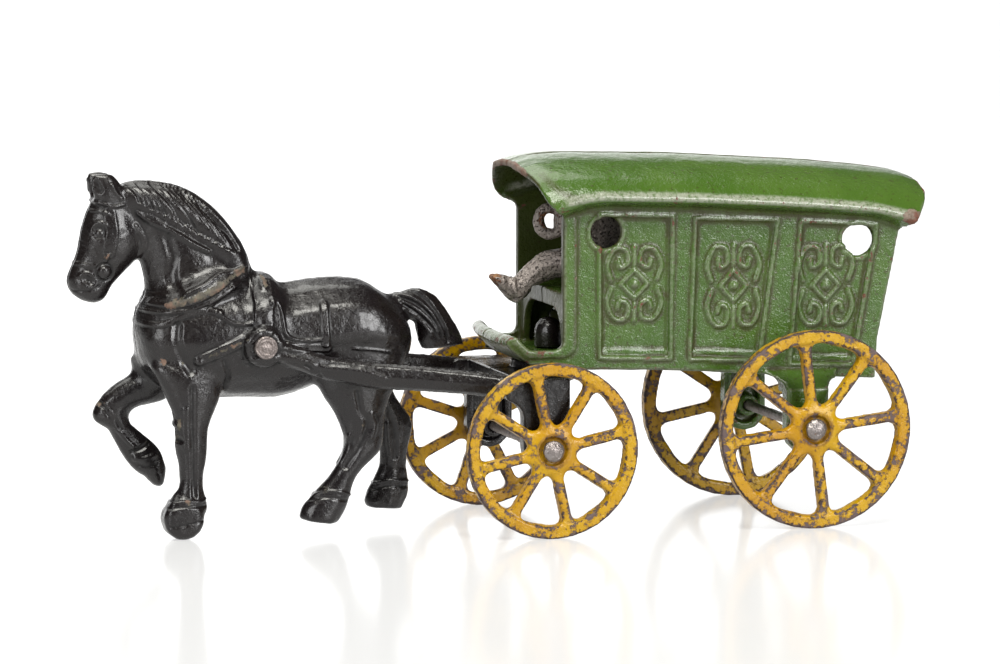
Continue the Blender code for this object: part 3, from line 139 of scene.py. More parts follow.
class Skin:
    """Fine closed mesh of one casting, in millimetres."""

    def __init__(self, name, node, voxel):
        self.node = node
        shape = bmesh.new()
        shape.from_mesh(frame["nodes"][node].data)
        bmesh.ops.scale(shape, vec=(PER_METRE,) * 3, verts=shape.verts)
        mesh = bpy.data.meshes.new(name)
        shape.to_mesh(mesh)
        shape.free()
        self.obj = bpy.data.objects.new(name, mesh)
        bpy.context.scene.collection.objects.link(self.obj)
        remesh = self.obj.modifiers.new("skin", "REMESH")
        remesh.mode = "VOXEL"
        remesh.voxel_size = voxel
        graph = bpy.context.evaluated_depsgraph_get()
        fine = bpy.data.meshes.new_from_object(self.obj.evaluated_get(graph))
        self.obj.modifiers.clear()
        self.obj.data = fine
        bpy.data.meshes.remove(mesh)
        fine.name = name
        self.mesh = fine
        count = len(fine.vertices)
        self.co = np.empty(count * 3)
        fine.vertices.foreach_get("co", self.co)
        self.co = self.co.reshape(-1, 3)
        edges = np.empty(len(fine.edges) * 2, np.int64)
        fine.edges.foreach_get("vertices", edges)
        edges = edges.reshape(-1, 2)
        self.side = 1.0 if self.co[:, 1].mean() > 0.0 else -1.0
        self.seam = self.find_seam(voxel)
        ends = np.vstack([edges, edges[:, ::-1]])
        inner = self.seam & (np.bincount(ends[:, 1], ~self.seam[ends[:, 0]], count) == 0)
        ends = ends[inner[ends[:, 1]] | ~inner[ends[:, 0]]]
        self.source, self.target = ends.T
        self.degree = np.maximum(np.bincount(self.target, minlength=count), 1)

    def find_seam(self, voxel):
        """Vertices on the flat face where two castings meet, on a piece whose innermost point lies there.

        Other pieces have none: wheels, pins, and body_casting_left, whose posts reach across the plane. So
        nothing holds that casting's seam edges, and the smoothing draws its roof edge back by 0.4 mm.
        """
        depth = self.co[:, 1] * self.side
        if abs(depth.min()) > SEAM_REACH:
            return np.zeros(len(self.co), bool)
        return depth < depth.min() + 0.4 * voxel

    def average(self, values):
        """Mean of each vertex's neighbours. The rim of the seam face isn't drawn into that face."""
        count = len(self.co)
        columns = [
            np.bincount(self.target, column[self.source], count) / self.degree
            for column in values.reshape(count, -1).T
        ]
        return np.stack(columns, 1).reshape(values.shape)

    def relax(self, share):
        """Moves each vertex towards the mean of its neighbours. The seam stays flat."""
        moved = share * (self.average(self.co) - self.co)
        moved[self.seam, 1] = 0.0
        self.co = self.co + moved

    def smooth(self, rounds):
        """Rounds facets off without shrinking the shape."""
        for _ in range(rounds):
            self.relax(SMOOTH_IN)
            self.relax(-SMOOTH_OUT)

    def soften(self, rounds):
        """Rounds edges off, which shrinks them a little."""
        for _ in range(rounds):
            self.relax(0.5)

    def round_off(self, rounds, where):
        """Turns wide facets into round forms. What the smoothing takes off is smoothed and given back."""
        share = 0.5 * where[:, None]
        start = self.co
        for _ in range(rounds):
            self.relax(share)
        lost = start - self.co
        for _ in range(rounds):
            lost = lost + share * (self.average(lost) - lost)
        lost[self.seam, 1] = 0.0
        self.co = self.co + lost

    def normals(self):
        self.mesh.vertices.foreach_set("co", self.co.ravel())
        self.mesh.update()
        values = np.empty(len(self.co) * 3)
        self.mesh.vertex_normals.foreach_get("vector", values)
        return values.reshape(-1, 3)

    def emboss(self, strokes):
        """Raises and sinks strokes of the side view on the outer face."""
        outward = np.clip(self.normals()[:, 1] * self.side / FULL_RELIEF, 0.0, 1.0)
        outward *= smooth_step(self.co[:, 1] * self.side, 0.3, 1.2)
        self.raise_strokes(strokes, self.co[:, (0, 2)], outward)

    def emboss_both(self, strokes):
        """Raises and sinks strokes of the side view on both faces, but not on the seam."""
        sideways = np.clip(np.abs(self.normals()[:, 1]) / FULL_RELIEF, 0.0, 1.0) * ~self.seam
        self.raise_strokes(strokes, self.co[:, (0, 2)], sideways)

    def emboss_front(self, strokes, from_x):
        """Raises and sinks strokes of the front view on what faces the horse behind the plane from_x."""
        outward = np.clip(-self.normals()[:, 0] / FULL_RELIEF, 0.0, 1.0)
        outward *= smooth_step(self.co[:, 0], from_x, from_x + 0.5)
        self.raise_strokes(strokes, self.co[:, (1, 2)], outward)

    def raise_strokes(self, strokes, flat, outward):
        """Moves each vertex along its normal by the strokes at its place in one view, times its share."""
        normals = self.normals()
        total = np.zeros(len(self.co))
        for stroke in strokes:
            total += relief(flat, *stroke)
        self.co = self.co + normals * (total * outward)[:, None]

    def roughen(self, size, height, seed):
        """Uneven surface of a sand casting."""
        normals = self.normals()
        shift = Vector((seed * 13.7, seed * 7.1, seed * 3.3))
        bumps = [noise.noise(Vector(point) / size + shift) for point in self.co]
        self.co = self.co + normals * (height * np.array(bumps))[:, None]

    def convexity(self, rounds):
        """How far each vertex stands out over its surroundings, in millimetres."""
        normals = self.normals()
        around = self.co
        for _ in range(rounds):
            around = self.average(around)
        return ((self.co - around) * normals).sum(1)

    def store(self, name, values):
        """Keeps a value of each vertex, or one value for all, as a layer that the materials read."""
        layer = self.mesh.attributes.new(name, "FLOAT", "POINT")
        layer.data.foreach_set("value", (np.zeros(len(self.co)) + values).astype(np.float32))

    def done(self, material, worn=0.0, edge=0.05, shade_and_dirt=0.0, pale_wear_and_glints=0.0, inner=0.0):
        """Writes the finished mesh in metres with its layers, and hands the piece to the frame.

        worn is where paint chips off. The other layers: how dark hollows are at least; where paint is worn
        pale, with painted glints and a painted highlight; and inner, dark and dull from painted shade, grime
        and stains. edge is the height in millimetres at which an edge or a hollow is full.
        """
        out = self.convexity(WEAR_ROUNDS)
        self.co[self.seam, 1] = self.side * SEAM_GAP
        self.store("edge", np.clip(out / edge, 0.0, 1.0))
        self.store("hollow", np.clip(np.maximum(-out / edge, shade_and_dirt), 0.0, 1.0))
        self.store("worn", worn)
        self.store("pale_wear_and_glints", pale_wear_and_glints)
        # Painted shade inside the wagon, with grime and stains.
        self.store("inner", inner)
        self.mesh.vertices.foreach_set("co", (self.co / PER_METRE).ravel())
        self.mesh.update()
        self.mesh.polygons.foreach_set("use_smooth", np.ones(len(self.mesh.polygons), bool))
        self.mesh.materials.clear()
        self.mesh.materials.append(material)
        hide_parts(self.node)
        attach(self.obj, frame["nodes"][self.node]["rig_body"])


# Materials

class Finish:
    """Short calls for building one material out of nodes."""

    def __init__(self, name):
        self.material = bpy.data.materials.new(name)
        self.material.use_nodes = True
        self.tree = self.material.node_tree
        self.tree.nodes.clear()
        self.shader = self.tree.nodes.new("ShaderNodeBsdfPrincipled")
        output = self.tree.nodes.new("ShaderNodeOutputMaterial")
        self.tree.links.new(self.shader.outputs["BSDF"], output.inputs["Surface"])
        place = self.tree.nodes.new("ShaderNodeTexCoord")
        self.place = place.outputs["Object"]

    def put(self, socket, value):
        """Links a socket to another one's value, or sets it."""
        if isinstance(value, bpy.types.NodeSocket):
            self.tree.links.new(value, socket)
        else:
            socket.default_value = value

    def noise(self, size, detail, rough, shift):
        """Noise whose main grains are about size millimetres."""
        mapping = self.tree.nodes.new("ShaderNodeMapping")
        self.put(mapping.inputs["Vector"], self.place)
        mapping.inputs["Scale"].default_value = (PER_METRE / size,) * 3
        mapping.inputs["Location"].default_value = (shift, shift * 0.7, shift * 1.3)
        made = self.tree.nodes.new("ShaderNodeTexNoise")
        self.put(made.inputs["Vector"], mapping.outputs["Vector"])
        made.inputs["Scale"].default_value = 1.0
        made.inputs["Detail"].default_value = detail
        made.inputs["Roughness"].default_value = rough
        return made.outputs["Fac"]

    def layer(self, name):
        """Value of a layer that Skin.store keeps."""
        made = self.tree.nodes.new("ShaderNodeAttribute")
        made.attribute_name = name
        return made.outputs["Fac"]

    def maths(self, operation, a, b=0.0):
        made = self.tree.nodes.new("ShaderNodeMath")
        made.operation = operation
        self.put(made.inputs[0], a)
        self.put(made.inputs[1], b)
        return made.outputs[0]

    def total(self, *terms):
        """Sum of value times share."""
        result = None
        for value, share in terms:
            term = self.maths("MULTIPLY", value, share)
            result = term if result is None else self.maths("ADD", result, term)
        return result

    def step(self, value, low, high, to_low=0.0, to_high=1.0):
        """Value that goes smoothly from to_low at low to to_high at high."""
        made = self.tree.nodes.new("ShaderNodeMapRange")
        made.interpolation_type = "SMOOTHSTEP"
        self.put(made.inputs["Value"], value)
        made.inputs["From Min"].default_value = low
        made.inputs["From Max"].default_value = high
        made.inputs["To Min"].default_value = to_low
        made.inputs["To Max"].default_value = to_high
        return made.outputs["Result"]

    def mix(self, share, a, b):
        """Colour that is a where the share is 0 and b where it is 1."""
        made = self.tree.nodes.new("ShaderNodeMix")
        made.data_type = "RGBA"
        self.put(made.inputs["Factor"], share)
        for name, colour in (("A", a), ("B", b)):
            socket = [other for other in made.inputs if other.name == name and other.type == "RGBA"][0]
            self.put(socket, (*colour, 1.0) if isinstance(colour, tuple) else colour)
        return [socket for socket in made.outputs if socket.type == "RGBA"][0]

    def bump(self, height, strength, distance, under=None):
        """Normal over a height that counts for distance millimetres. under is the normal below it."""
        made = self.tree.nodes.new("ShaderNodeBump")
        made.inputs["Strength"].default_value = strength
        made.inputs["Distance"].default_value = distance / PER_METRE
        self.put(made.inputs["Height"], height)
        if under is not None:
            self.put(made.inputs["Normal"], under)
        return made.outputs["Normal"]

    def set(self, **values):
        """Sets or links the shader's own sockets."""
        for name, value in values.items():
            self.put(self.shader.inputs[name.replace("_", " ")], value)


PALE_WEAR_AND_GLINT_TONE = (0.27, 0.28, 0.22)   # worn pale paint, painted glints and a painted highlight
SHINE = 0.36   # specular level of all the finishes
CHIP_FALL = 0.035   # how soft a chip's edge is
CHIP_RIM = 0.05   # how wide the dark rim round a chip is
PAINT_STEP = 0.08   # thickness of the paint at a chip, in millimetres


def painted(name, paint, bare, chips, gloss, skin_size, skin_height, seed, coat=None,
            specks=(1.1, 0.7, 0.75)):
    """Old enamel on cast iron, or metal that has aged alike: tones, chips, darker hollows and specks,
    and, from the layers, painted shade, painted glints and a painted highlight.

    paint: light, deep, pale and dark tone; the dark one serves hollows, painted shade, stains and specks.
    bare: three tones of what shows in the chips.
    chips: the share that edges and worn places have in them, the level they start from, the patches' size.
    gloss: roughness where it is least.
    skin_size, skin_height: grain and height of the cast skin, in millimetres.
    seed: shift that makes one finish's noise unlike another's.
    coat: weight and roughness of the clear coat, or None.
    specks: size of the dark specks in millimetres, the level they start from, their depth.
    """
    finish = Finish(name)
    grain = finish.noise(0.9, 6.0, 0.7, seed)
    broad = finish.noise(16.0, 2.0, 0.5, seed + 9.0)
    edge_share, worn_share, level, patch_size = chips
    patch = finish.noise(patch_size, 4.0, 0.6, seed + 5.0)
    loss = finish.total(
        (grain, 0.5), (patch, 0.5), (finish.layer("edge"), edge_share), (finish.layer("worn"), worn_share),
    )
    chip = finish.step(loss, level, level + CHIP_FALL)
    rim = finish.step(loss, level - CHIP_RIM, level)
    colour = finish.mix(finish.step(broad, 0.35, 0.65), paint[0], paint[1])
    colour = finish.mix(finish.step(grain, 0.55, 0.8, 0.0, 0.35), colour, paint[2])
    # Darker in hollows; from the inner layer, painted shade inside the wagon with grime and stains.
    shade_and_dirt = finish.maths("MULTIPLY", finish.layer("hollow"), finish.step(patch, 0.3, 0.6, 0.25, 0.8))
    shade_and_dirt = finish.maths("MAXIMUM", shade_and_dirt, finish.layer("inner"))
    colour = finish.mix(shade_and_dirt, colour, paint[3])
    colour = finish.mix(finish.maths("MULTIPLY", rim, 0.35), colour, paint[3])
    rust = finish.noise(1.3, 5.0, 0.7, seed + 2.0)
    metal = finish.mix(finish.step(rust, 0.38, 0.62), bare[0], bare[1])
    metal = finish.mix(finish.step(patch, 0.5, 0.62), metal, bare[2])
    # Paint worn pale, with painted glints on the wall relief and a painted highlight along the roof's hem.
    pale_wear_and_glints = finish.maths("MULTIPLY", finish.layer("pale_wear_and_glints"), finish.step(grain, 0.36, 0.56, 0.25, 0.95))
    colour = finish.mix(pale_wear_and_glints, colour, PALE_WEAR_AND_GLINT_TONE)
    colour = finish.mix(chip, colour, metal)
    sheen = finish.step(grain, 0.3, 0.7, gloss, gloss + 0.12)
    rough = finish.total((sheen, 1.0), (chip, 0.28), (shade_and_dirt, 0.15))
    speck_size, speck_level, speck_depth = specks
    speck = finish.noise(speck_size, 2.0, 0.5, seed + 13.0)
    speck = finish.step(speck, speck_level, speck_level + 0.06, 0.0, speck_depth)
    colour = finish.mix(speck, colour, paint[3])
    coarse = finish.noise(skin_size, 2.0, 0.5, seed + 3.0)
    fine = finish.noise(0.38, 1.0, 0.5, seed)
    skin = finish.total((coarse, 0.65), (fine, 0.35))
    normal = finish.bump(skin, 1.0, skin_height)
    normal = finish.bump(finish.maths("SUBTRACT", 1.0, chip), 0.6, PAINT_STEP, normal)
    lost = finish.maths("MAXIMUM", chip, shade_and_dirt)
    finish.set(Base_Color=colour, Roughness=rough, Normal=normal, Specular_IOR_Level=SHINE)
    if coat:
        finish.set(Coat_Weight=finish.step(lost, 0.0, 1.0, coat[0], 0.0), Coat_Roughness=coat[1])
    return finish


def build_materials():
    """Materials of the five finishes, by what they are for."""
    made = {}
    green = painted(
        "green_enamel",
        ((0.052, 0.102, 0.014), (0.039, 0.086, 0.009), (0.100, 0.132, 0.045), (0.034, 0.025, 0.010)),
        ((0.19, 0.145, 0.11), (0.11, 0.072, 0.05), (0.11, 0.036, 0.019)),
        chips=(0.16, 0.42, 0.73, 4.5), gloss=0.16, skin_size=1.3, skin_height=0.24, seed=3.0,
        coat=(0.3, 0.08), specks=(0.9, 0.63, 0.6),
    )
    made["body"] = green.material
    yellow = painted(
        "yellow_enamel",
        ((0.44, 0.255, 0.001), (0.37, 0.185, 0.001), (0.52, 0.33, 0.006), (0.11, 0.042, 0.004)),
        ((0.050, 0.029, 0.025), (0.024, 0.013, 0.010), (0.095, 0.065, 0.062)),
        chips=(0.10, 0.30, 0.578, 2.8), gloss=0.26, skin_size=1.2, skin_height=0.2, seed=21.0,
        coat=(0.06, 0.16),
    )
    made["wheel"] = yellow.material
    black = painted(
        "black_enamel",
        (
            (0.0064, 0.0044, 0.0042), (0.0048, 0.0032, 0.0036),
            (0.024, 0.017, 0.014), (0.002, 0.0015, 0.0015),
        ),
        ((0.085, 0.078, 0.055), (0.045, 0.038, 0.030), (0.14, 0.085, 0.06)),
        chips=(0.05, 0.42, 0.74, 4.5), gloss=0.23, skin_size=0.9, skin_height=0.2, seed=37.0,
        coat=(0.42, 0.16),
    )
    made["horse"] = black.material
    iron = painted(
        "bare_iron",
        ((0.30, 0.26, 0.235), (0.17, 0.14, 0.12), (0.54, 0.49, 0.46), (0.026, 0.017, 0.014)),
        ((0.30, 0.16, 0.07), (0.17, 0.08, 0.045), (0.12, 0.045, 0.03)),
        chips=(-0.3, 0.5, 0.60, 0.8), gloss=0.3, skin_size=0.8, skin_height=0.5, seed=51.0,
        specks=(0.5, 0.55, 0.9),
    )
    iron.set(Metallic=0.3)
    made["driver"] = iron.material
    steel = painted(
        "steel",
        ((0.31, 0.285, 0.275), (0.215, 0.185, 0.175), (0.40, 0.365, 0.355), (0.06, 0.045, 0.04)),
        ((0.22, 0.17, 0.14), (0.10, 0.07, 0.055), (0.26, 0.15, 0.10)),
        chips=(-0.1, 0.4, 0.6, 2.0), gloss=0.34, skin_size=1.0, skin_height=0.4, seed=63.0,
    )
    steel.set(Metallic=0.85)
    made["steel"] = steel.material
    return made


materials = build_materials()


# Wagon

# x and z of each panel's ornament, and half its width and height
PANEL_CENTRES = ((27.0, 53.6, 6.2, 8.6), (49.7, 52.6, 6.0, 9.6), (71.0, 52.2, 6.2, 9.4))
# Corners of the bead round each panel
PANELS = (
    ((18.9, 69.0), (35.6, 68.3), (35.2, 37.0), (19.0, 37.7)),
    ((40.8, 67.7), (59.7, 66.9), (55.5, 36.0), (39.6, 36.8)),
    ((65.0, 66.5), (82.6, 65.3), (77.2, 34.4), (62.6, 35.0)),
)
# Steps at the panels' feet, centres of the round holes and line of the roof's lower edge
PANEL_FEET = (((20.4, 39.1), (33.9, 38.6)), ((41.0, 38.4), (54.6, 37.6)), ((64.0, 36.6), (76.4, 35.9)))
HOLES = ((20.6, 65.0), (78.4, 62.0))
ROOF_HEM = ((8.0, 71.4), (17.5, 72.9), (36.0, 72.3), (59.0, 71.0), (80.0, 69.2), (90.0, 67.0))
ROOF_ROUNDS = 110   # rounds of rounding off, as for hubs and trunk
RIDGE_SEAM = 1.6   # how far from the seam the roof's ridge is dirty
BEAD_WIDTH = 0.55
BEAD_HEIGHT = 0.36
HOLE_RADIUS = 3.5
CIRCLE_STEPS = 40
SCROLL = ((-0.85, 0.12), (-1.0, 0.5), (-0.72, 0.88), (-0.3, 0.86), (-0.22, 0.55), (-0.5, 0.42), (-0.6, 0.6))
LOZENGE = ((0.0, 0.36), (0.5, 0.0), (0.0, -0.36), (-0.5, 0.0), (0.0, 0.36))
BUD = ((0.0, 0.5), (0.0, 0.92))
CREST_HEIGHT = 0.02   # relief that stands out so far gets a painted glint
# Stains on the walls: path, width and share
STAINS = (
    (((13.4, 69.5), (13.6, 60.0), (13.6, 49.0), (13.4, 41.0)), 0.9, 0.7),
    (((41.4, 67.2), (41.3, 64.6)), 1.3, 0.8),
    (((89.6, 66.5), (86.4, 52.0), (83.6, 38.0)), 1.0, 0.7),
    (((6.6, 77.6), (9.0, 74.6), (13.0, 72.6)), 1.6, 0.55),
)


def circle(x, z, radius):
    """Closed path of straight pieces round a point."""
    turns = [2 * math.pi * k / CIRCLE_STEPS for k in range(CIRCLE_STEPS + 1)]
    return [(x + radius * math.cos(turn), z + radius * math.sin(turn)) for turn in turns]


def placed(points, centre_x, centre_z, wide, tall):
    """Points of an ornament drawn from -1 to 1, at its place and size."""
    return [(centre_x + wide * u, centre_z + tall * v) for u, v in points]


def panel_strokes():
    """Scrolls round a lozenge in each panel, the step at its foot and the rims of the round holes."""
    strokes = []
    for x, z, wide, tall in PANEL_CENTRES:
        for across in (-1, 1):
            for up in (-1, 1):
                strokes.append(("ridge", placed(SCROLL, x, z, across * wide, up * tall), 0.72, 0.5))
        strokes.append(("line", placed(LOZENGE, x, z, wide, tall), 0.62, 0.4))
        strokes.append(("ridge", [(x, z)], 1.4, 0.5))
        for up in (-1, 1):
            strokes.append(("ridge", placed(BUD, x, z, wide, up * tall), 0.8, 0.32))
    for corners in PANELS:
        strokes.append(("line", (*corners, corners[0]), BEAD_WIDTH, BEAD_HEIGHT))
    for foot in PANEL_FEET:
        strokes.append(("line", foot, 0.75, 0.28))
    for x, z in HOLES:
        strokes.append(("line", circle(x, z, HOLE_RADIUS + 0.6), 0.55, 0.16))
    return strokes


def near_point(skin, x, z, reach):
    """Share of each vertex, 1 at a point of the side view and 0 beyond its reach."""
    gap = np.hypot(skin.co[:, 0] - x, skin.co[:, 2] - z)
    return smooth_step(-gap, -reach, 0.0)


def over_hem(skin):
    """Height of each vertex over the roof's hem."""
    x, _, z = skin.co.T
    return z - np.interp(x, *zip(*ROOF_HEM))


def roof_share(skin):
    """Share of each vertex in the roof, apart from its hem and its front and rear edges."""
    x = skin.co[:, 0]
    return smooth_step(over_hem(skin), 0.2, 1.6) * smooth_step(x, 6.0, 11.0) * smooth_step(-x, -92.0, -87.0)


def toe_board_share(skin):
    """Share of each vertex in the toe board, ahead of the front wall."""
    x, _, z = skin.co.T
    return smooth_step(-x, -7.0, -4.0) * smooth_step(-z, -48.0, -46.0)


def outer_share(skin):
    """Share of each vertex in the outer faces of the walls."""
    return smooth_step(skin.normals()[:, 1] * skin.side, 0.2, 0.6)


def body_worn(skin):
    """Chipped corners of the roof, the toe board and the front post."""
    x, _, z = skin.co.T
    worn = 0.8 * near_point(skin, 89.3, 67.6, 3.2)
    worn += 0.55 * smooth_step(x, 93.6, 95.0) * smooth_step(z, 66.0, 70.0)
    worn += 0.5 * smooth_step(-x, -4.6, -3.4) * smooth_step(z, 66.0, 69.0)
    worn += 0.6 * near_point(skin, -3.5, 43.5, 2.2) - 0.2 * toe_board_share(skin)
    worn += 0.25 * near_point(skin, 13.5, 55.0, 3.0)
    return np.clip(worn, 0.0, 1.0)


def body_shade_and_dirt(skin):
    """Painted shade in and under the roof, on seat front and toe board, with ridge seam grime and stains."""
    x, y, z = skin.co.T
    normals = skin.normals()
    # Painted shade on the walls' inner faces and on what faces down under the roof.
    inside = smooth_step(-normals[:, 1] * skin.side, -0.1, 0.4) * smooth_step(-np.abs(y), -22.5, -21.0)
    under = smooth_step(-normals[:, 2], 0.0, 0.4) * smooth_step(-np.abs(y), -20.0, -18.5)
    inner = np.maximum(inside, under) * smooth_step(z, 33.0, 35.0)
    seam = smooth_step(-np.abs(y), -RIDGE_SEAM, -0.2) * smooth_step(z, 66.0, 68.0)
    # Painted shade on the seat's front.
    seat_front = smooth_step(-normals[:, 0], 0.3, 0.7) * smooth_step(-np.abs(y), -19.5, -18.5)
    seat_front *= smooth_step(x, 2.0, 4.0) * smooth_step(-x, -30.0, -25.0)
    # Grime along the ridge seam; painted shade on the toe board and the seat's front.
    for share in (0.9 * seam, 0.45 * toe_board_share(skin), 0.75 * seat_front):
        inner = np.maximum(0.85 * inner, share)   # each share dims the ones before it
    outer = outer_share(skin)
    for points, width, share in STAINS:
        gap = gap_to(curve(points), skin.co[:, (0, 2)])
        inner = np.maximum(inner, share * smooth_step(-gap, -width, 0.0) * outer)
    return inner


def body_pale_wear_and_glints(skin):
    """Worn pale paint on toe board and hem, with a painted highlight on the hem and painted glints on
    relief.
    """
    x, y, z = skin.co.T
    # The roof's hem: paint worn pale, with a painted highlight band.
    height = over_hem(skin)
    hem = smooth_step(height, -0.9, -0.3) * smooth_step(-height, -1.7, -0.9)
    hem *= smooth_step(np.abs(y), 20.6, 21.4) * smooth_step(x, 8.5, 12.0) * smooth_step(-x, -90.5, -87.5)
    # Painted glints on the tops of the wall relief.
    crest_glints = smooth_step(skin.convexity(2), CREST_HEIGHT, 2.5 * CREST_HEIGHT) * outer_share(skin)
    crest_glints *= smooth_step(-z, -71.0, -69.0)
    toe_board = 0.35 * toe_board_share(skin) * smooth_step(z, 42.0, 45.0)
    return np.maximum(np.maximum(0.9 * hem, 0.3 * crest_glints), toe_board)


def build_body(name, node):
    skin = Skin(name, node, BODY_VOXEL)
    skin.smooth(4)
    skin.round_off(ROOF_ROUNDS, roof_share(skin))
    skin.soften(1)
    skin.emboss(panel_strokes())
    skin.roughen(3.0, 0.07, 2.0 + skin.side)
    # Painted glints, a painted highlight on the hem and painted shade inside, besides wear, grime and
    # stains.
    skin.done(
        materials["body"], body_worn(skin), pale_wear_and_glints=body_pale_wear_and_glints(skin), inner=body_shade_and_dirt(skin),
    )


# Wheels and pins

HUB_ROUNDS = 35
PIN_HEAD_RELIEF = 0.3   # height of the rim on a rivet's head, in millimetres


def build_wheel(name, node):
    skin = Skin(name, node, WHEEL_VOXEL)
    skin.smooth(3)
    skin.soften(3)
    skin.roughen(2.2, 0.06, 5.0 + 3.0 * skin.side + skin.co[:, 0].mean() / 40.0)
    low = skin.co.min(0)
    high = skin.co.max(0)
    centre = 0.5 * (low + high)
    radius = 0.5 * (high[0] - low[0])
    reach = np.hypot(skin.co[:, 0] - centre[0], skin.co[:, 2] - centre[2])
    skin.round_off(HUB_ROUNDS, smooth_step(-reach, -8.5, -6.5) * smooth_step(reach, 3.7, 4.3))
    rim = smooth_step(reach, radius - 1.6, radius - 0.2)
    spokes = smooth_step(reach, 6.0, 8.0) * (1.0 - rim)
    outward = skin.normals()[:, 1] * skin.side
    corner = rim * smooth_step(outward, 0.1, 0.6) * smooth_step(-outward, -0.97, -0.8)
    # The hub's recess round the axle head is made darker.
    hub = smooth_step(-reach, -4.2, -3.6) * smooth_step(reach, 2.3, 2.6)
    skin.done(materials["wheel"], 0.2 * rim + 0.5 * corner + 0.1 * spokes, 0.09, shade_and_dirt=hub)


def build_pin(name, node, ring):
    """Axle or rivet with hammered heads. ring is the radius of a raised rim on them, or None."""
    skin = Skin(name, node, SMALL_VOXEL)
    skin.smooth(3)
    skin.soften(3)
    skin.roughen(1.3, 0.16, 9.0)
    if ring:
        normals = skin.normals()
        middle = 0.5 * (skin.co.min(0) + skin.co.max(0))
        reach = np.hypot(skin.co[:, 0] - middle[0], skin.co[:, 2] - middle[2])
        raised = PIN_HEAD_RELIEF * smooth_step(-np.abs(reach - ring), -0.35, 0.0)
        sunk = 0.25 * smooth_step(-reach, 0.6 - ring, 0.9 - ring)
        facing = np.clip(np.abs(normals[:, 1]) / FULL_RELIEF, 0.0, 1.0)
        skin.co = skin.co + normals * ((raised - sunk) * facing)[:, None]
    skin.done(materials["steel"], edge=0.08)


# Horse

BIT_RING = circle(-87.4, 57.8, 1.9)
